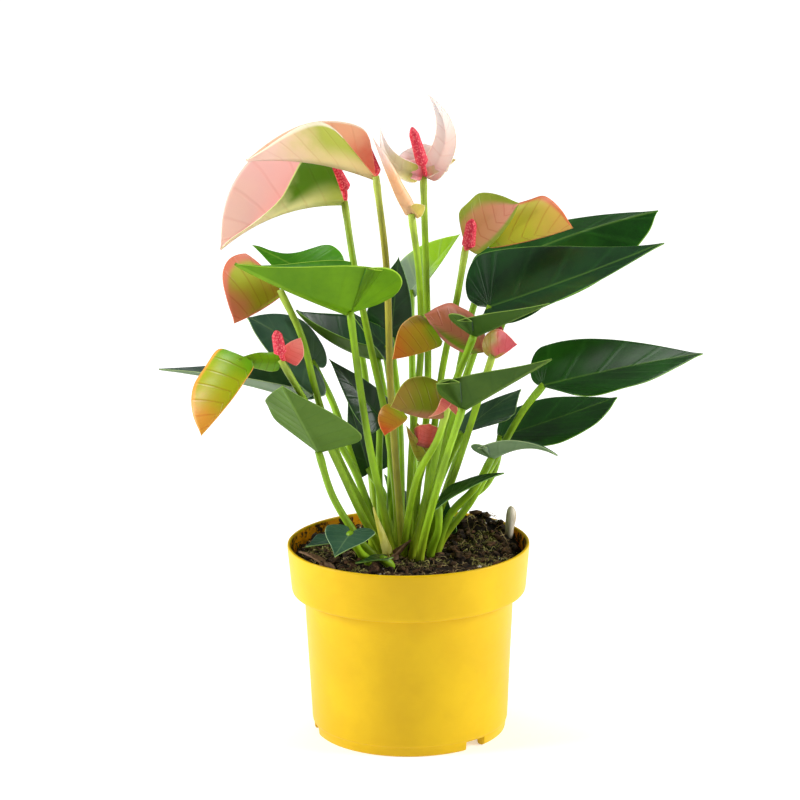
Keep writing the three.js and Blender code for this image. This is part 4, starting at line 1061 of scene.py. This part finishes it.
def spathe_skin(name, veined, foot, middle, tip, edge, extras=None):
    """A spathe's skin: its colour runs from foot to tip and turns to another at the edge, with soft patches
    and sunken veins as strong as veined. Of the extras, edge_from is the share outwards where the edge's
    colour starts, low colours the half on the left of the tip, and shoulder the outer part near the foot."""
    extras = extras or {}
    edge_from = extras.get("edge_from", 0.94)
    material, tree, shader = new_material(name, 0.36, Specular_IOR_Level=0.3, Subsurface_Weight=0.1,
                                          Subsurface_Scale=0.003, Subsurface_Radius=(1.0, 0.5, 0.3))
    coords = object_place(tree)
    line, out = vein_lines(tree, 8, 0.1)
    patches = node(tree, "TexNoise", Vector=coords, Scale=60.0, Detail=4.0)
    forward, beside = map_axes(tree, "place")
    wander = maths(tree, "MULTIPLY", maths(tree, "SUBTRACT", patches.outputs["Fac"], 0.5), 0.5)
    along = maths(tree, "ADD", forward, wander)
    colour = blend(tree, between(tree, along, 0.0, 0.35), rgb(*foot), rgb(*middle))
    colour = blend(tree, between(tree, along, 0.4, 0.9), colour, rgb(*tip))
    if "low" in extras:
        aside = maths(tree, "ADD", beside, maths(tree, "MULTIPLY", wander, 0.5))
        colour = blend(tree, between(tree, aside, 0.5, 0.85), colour, rgb(*extras["low"]))
    if "shoulder" in extras:
        outer = maths(tree, "MULTIPLY", between(tree, out, 0.15, 0.6), between(tree, along, 0.62, 0.3))
        colour = blend(tree, outer, colour, rgb(*extras["shoulder"]))
    deeper = blend(tree, 1.0, colour, (0.84, 0.55, 0.5), "MULTIPLY")
    colour = blend(tree, maths(tree, "MULTIPLY", line, veined), colour, deeper)
    margin = between(tree, out, edge_from, edge_from + 0.6 * (1 - edge_from))
    colour = blend(tree, margin, colour, rgb(*edge))
    height = maths(tree, "ADD", maths(tree, "MULTIPLY", line, -0.5), patches.outputs["Fac"])
    paint(tree, shader, colour, height, 0.00016)
    return material


def spadix_grid(base, tip, radius):
    """A tapering spike covered in berries: the radius at (turn, height) is a round-ended cone plus the
    product of two crossing sets of spiral waves, which gives the diamond-packed knobs."""
    base, tip = np.array(base, float), np.array(tip, float)
    axis = unit(tip - base)
    length = np.linalg.norm(tip - base)
    along = np.linspace(0, 1, 73)[:, None]
    turn = full_circle(60)
    around, knob_height = 9, 0.22
    climb = 2 * np.pi * (around * length / (1.6 * radius) / np.pi) * along
    knobs = np.cos(around * turn + climb) * np.cos(around * turn - climb)
    ends = np.sqrt(np.clip(8 * along, 0, 1) * np.clip(5 * (1 - along), 0, 1))
    out = radius * (1.05 - 0.3 * along) * ends + knob_height * knobs * ends
    out[[0, -1]] = 0
    across = unit(np.cross(axis, [0.2, 1, 0.1]))
    other = np.cross(axis, across)
    points = base + along[..., None] * length * axis \
        + out[..., None] * (np.cos(turn)[:, None] * across + np.sin(turn)[:, None] * other)
    uv = np.stack(np.broadcast_arrays(turn[None] / 6.3, along), -1)
    return points * MM, {"UVMap": uv}, 0, -1


def spadix_foot(base, tip, radius, joint):
    """The bare foot of a spike: a thin stem that bends from the spathe's joint up into the lowest berries."""
    base, tip, joint = (np.array(place, float) for place in (base, tip, joint))
    rings = 12
    path, _ = smooth_path([joint, (joint + base) / 2, base + 0.15 * (tip - base)], rings)
    points, uv = tube_grid(path, np.linspace(0.36, 0.46, rings) * radius, 12)
    return points * MM, {"UVMap": uv}, 0, -1


def spadix_skin(name, deep, crown):
    """Knobs with paler crowns, matte and finely grainy."""
    material, tree, shader = new_material(name, 0.5, Specular_IOR_Level=0.3)
    dots = node(tree, "TexVoronoi", Vector=object_place(tree), Scale=900.0)
    colour = blend(tree, between(tree, dots.outputs["Distance"], 0.6, 0.1), rgb(*deep), rgb(*crown))
    paint(tree, shader, colour, dots.outputs["Distance"], -0.0003)
    return material


bloom_stalk = stalk_skin("bloom_stalk", rgb(148, 172, 40), rgb(142, 180, 38), rgb(172, 194, 76))
tan_stalk = stalk_skin("tan_stalk", rgb(150, 160, 44), rgb(170, 162, 62), rgb(176, 190, 84))
spadix_coral = spadix_skin("spadix_coral", (206, 44, 66), (236, 112, 112))
spadix_dark = spadix_skin("spadix_dark", (122, 22, 18), (182, 72, 60))

young_blooms = ("bloom_left_low", "bloom_left_top", "bloom_top_narrow", "bloom_top_open")
for number, (name, bloom) in enumerate(BLOOMS.items()):
    petals = bloom["petals"]
    *insides, outside = SPATHES[name]
    veined = 0.2 if name in young_blooms else 0.6
    stalk = tan_stalk if name == "bloom_left_top" else bloom_stalk
    skins = [spathe_skin(f"{name}_inside{i}", veined, *look) for i, look in enumerate(insides)]
    skins += [spathe_skin(name + "_outside", veined, *outside), stalk]
    grids = []
    for i, petal in enumerate(petals):
        grids += blade_grids(phase=1.3 * number, thickness=0.7, wave=0.35, relief=0.06, veins=8, rows=56,
                             columns=12, slots=(i, len(petals)), **{**PETAL, **petal})
    grids.append(stalk_grid([*bloom["stem"], petals[0]["base"]], 0.95, len(petals) + 1))
    finish_piece(solid_from_grids(name + "_spathe", grids, skins), name)
    if "spadix" in bloom:
        spadix = bloom["spadix"]
        berries = spadix_dark if name == "bloom_middle" else spadix_coral
        spike = name.replace("bloom", "spadix")
        joint = min((petal["base"] for petal in petals), key=lambda place: math.dist(place, spadix["base"]))
        grids = [spadix_grid(**spadix), spadix_foot(joint=joint, **spadix)]
        finish_piece(solid_from_grids(spike + "_spike", grids, [berries]), spike)


# Small things between the stalks: a pale papery sheath round a shoot, a brown bract, a withered leaf that
# hangs over the rim and a bare root that stands up behind right.
SMALL_BLADES = {
    "sheath": dict(
        slot="sheath",
        stem=[[-11, -16.5], [-11.5, -16.5, 95]],
        tip=[-17, -18, 120], width=[10, 10], fold=[40, 40], lobe=[-0.1, -0.1],
    ),
    "brown_bract": dict(
        slot="dry_leaf",
        stem=[[-7, -20], [-6.5, -19.5, 95]],
        tip=[1, -18, 103], width=[7, 7], fold=[35, 35], lobe=[-0.1, -0.1],
    ),
    "withered_leaf": dict(
        slot="dry_leaf",
        stem=[[-38, -33], [-42, -36, 96]],
        tip=[-54, -30, 101], width=[6, 6], fold=[25, 25], bow=1, lobe=[-0.1, -0.1],
    ),
}
# The two tones of what each slot holds
SMALL_LOOKS = {
    "sheath": (rgb(214, 206, 76), rgb(244, 236, 140)),
    "dry_leaf": ((0.07, 0.035, 0.015), (0.20, 0.11, 0.05)),
}


def dry_skin(name, dark, light):
    """A dry papery skin: two tones in long streaks."""
    material, tree, shader = new_material(name, 0.7, Specular_IOR_Level=0.3)
    spread = node(tree, "Mapping", Vector=object_place(tree), Scale=(300, 300, 60))
    streaks = node(tree, "TexNoise", Vector=spread.outputs[0], Scale=1.0, Detail=5.0)
    colour = blend(tree, between(tree, streaks.outputs["Fac"], 0.3, 0.7), dark, light)
    paint(tree, shader, colour, streaks.outputs["Fac"], 0.0004)
    return material


for name, shape in SMALL_BLADES.items():
    shape = dict(shape)
    slot, stem = shape.pop("slot"), shape.pop("stem")
    skin = dry_skin(name + "_skin", *SMALL_LOOKS[slot])
    grids = blade_grids(base=stem[-1], thickness=0.7, wave=0.3, relief=0.2, veins=5, rows=30, columns=6,
                        **shape)
    grids.append(stalk_grid(stem, 0.9, 0))
    finish_piece(solid_from_grids(name + "_paper", grids, [skin, skin]), name)


def root_grid():
    """The bare root: thin in the soil, swelling above it and rounded off at its end."""
    rings, thin, swelling = 40, 1.15, 1.5
    line = [[51, 18, 82], [51.3, 18.3, 92], [51.6, 18.6, 99], [52.4, 19, 104.5], [52.2, 19.2, 109.6]]
    path, _ = smooth_path(line, rings)
    share = np.linspace(0, 1, rings)
    radius = thin + swelling * np.sqrt(np.clip((share - 0.35) / 0.4, 0, 1))
    radius *= np.sqrt(np.clip(1.02 - ((share - 0.8) / 0.2).clip(0) ** 2, 0, 1))
    points, uv = tube_grid(path, radius, 16)
    return points * MM, {"UVMap": uv}, 0, -1


root_skin = dry_skin("root_skin", rgb(150, 134, 104), rgb(214, 206, 186))
finish_piece(solid_from_grids("root_stub_skin", [root_grid()], [root_skin]), "root_stub")


# The studio: a pale floor that glows more with distance, a large soft light at each side, a weaker one above
# and behind for the gloss on the leaves, and the photograph's view.
CAMERA = (0, -1400, 500)
TARGET = (-3.5, 0, 170)
ROLL = -0.0099
FOCAL_PIXELS = 2896
PICTURE_PIXELS = 800
SENSOR_WIDTH = 36
FLOOR_HALF = 6
# Each light's place in millimetres, size in metres and power in watts
LIGHTS = {
    "left": ((-1400, -170, 750), 0.9, 28),
    "right": ((1400, -170, 700), 0.9, 25.5),
    "top": ((0, 300, 1600), 0.8, 8),
}


def look_at(place, target, roll=0.0):
    """The rotation of a camera or light at place that looks at target, turned by roll about its view."""
    forward = unit(np.array(target, float) - np.array(place, float))
    right = unit(np.cross(forward, [0, 0, 1]))
    above = np.cross(right, forward)
    turned = right * math.cos(roll) + above * math.sin(roll)
    upward = above * math.cos(roll) - right * math.sin(roll)
    return np.stack([turned, upward, -forward], 1)


def placed(data, name, place, target, roll=0.0):
    """A camera or light put at place in millimetres, looking at target."""
    made = bpy.data.objects.new(name, data)
    bpy.context.collection.objects.link(made)
    matrix = np.eye(4)
    matrix[:3, :3] = look_at(place, target, roll)
    matrix[:3, 3] = np.array(place) * MM
    made.matrix_world = Matrix(matrix.tolist())
    return made


camera_data = bpy.data.cameras.new("camera")
camera_data.sensor_width = SENSOR_WIDTH
camera_data.lens = FOCAL_PIXELS / PICTURE_PIXELS * SENSOR_WIDTH
camera_data.clip_end = 20
camera = placed(camera_data, "camera", CAMERA, TARGET, ROLL)
bpy.context.scene.camera = camera

for name, (place, size, power) in LIGHTS.items():
    light = bpy.data.lights.new(name, "AREA")
    light.shape = "DISK"
    light.size = size
    light.energy = power
    placed(light, name, place, (0, 0, 150))

floor_material, floor_tree, floor_shader = new_material(
    "studio_floor", 0.9, Base_Color=(0.85, 0.85, 0.85, 1), Emission_Color=(1, 1, 1, 1))
away = node(floor_tree, "VectorMath", operation="LENGTH", Vector=object_place(floor_tree))
glow = node(floor_tree, "MapRange", Value=away.outputs["Value"], From_Min=0.4, From_Max=1.8,
            To_Min=0.42, To_Max=1.0)
floor_tree.links.new(glow.outputs[0], floor_shader.inputs["Emission Strength"])
floor_corners = [(FLOOR_HALF * x, FLOOR_HALF * y, 0) for x, y in ((-1, -1), (1, -1), (1, 1), (-1, 1))]
linked("floor", floor_corners, [(0, 1, 2, 3)], floor_material)

world = bpy.data.worlds.new("studio")
world.use_nodes = True
world_tree = world.node_tree
soft = world_tree.nodes["Background"]
soft.inputs["Strength"].default_value = 0.1
backdrop = node(world_tree, "Background", Color=(1, 1, 1, 1), Strength=1.0)
seen = node(world_tree, "MixShader", Fac=node(world_tree, "LightPath").outputs["Is Camera Ray"])
soft.inputs["Color"].default_value = (1, 1, 1, 1)
world_tree.links.new(soft.outputs[0], seen.inputs[1])
world_tree.links.new(backdrop.outputs[0], seen.inputs[2])
world_tree.links.new(seen.outputs[0], world_tree.nodes["World Output"].inputs[0])
bpy.context.scene.world = world
bpy.context.scene.view_settings.view_transform = "Standard"
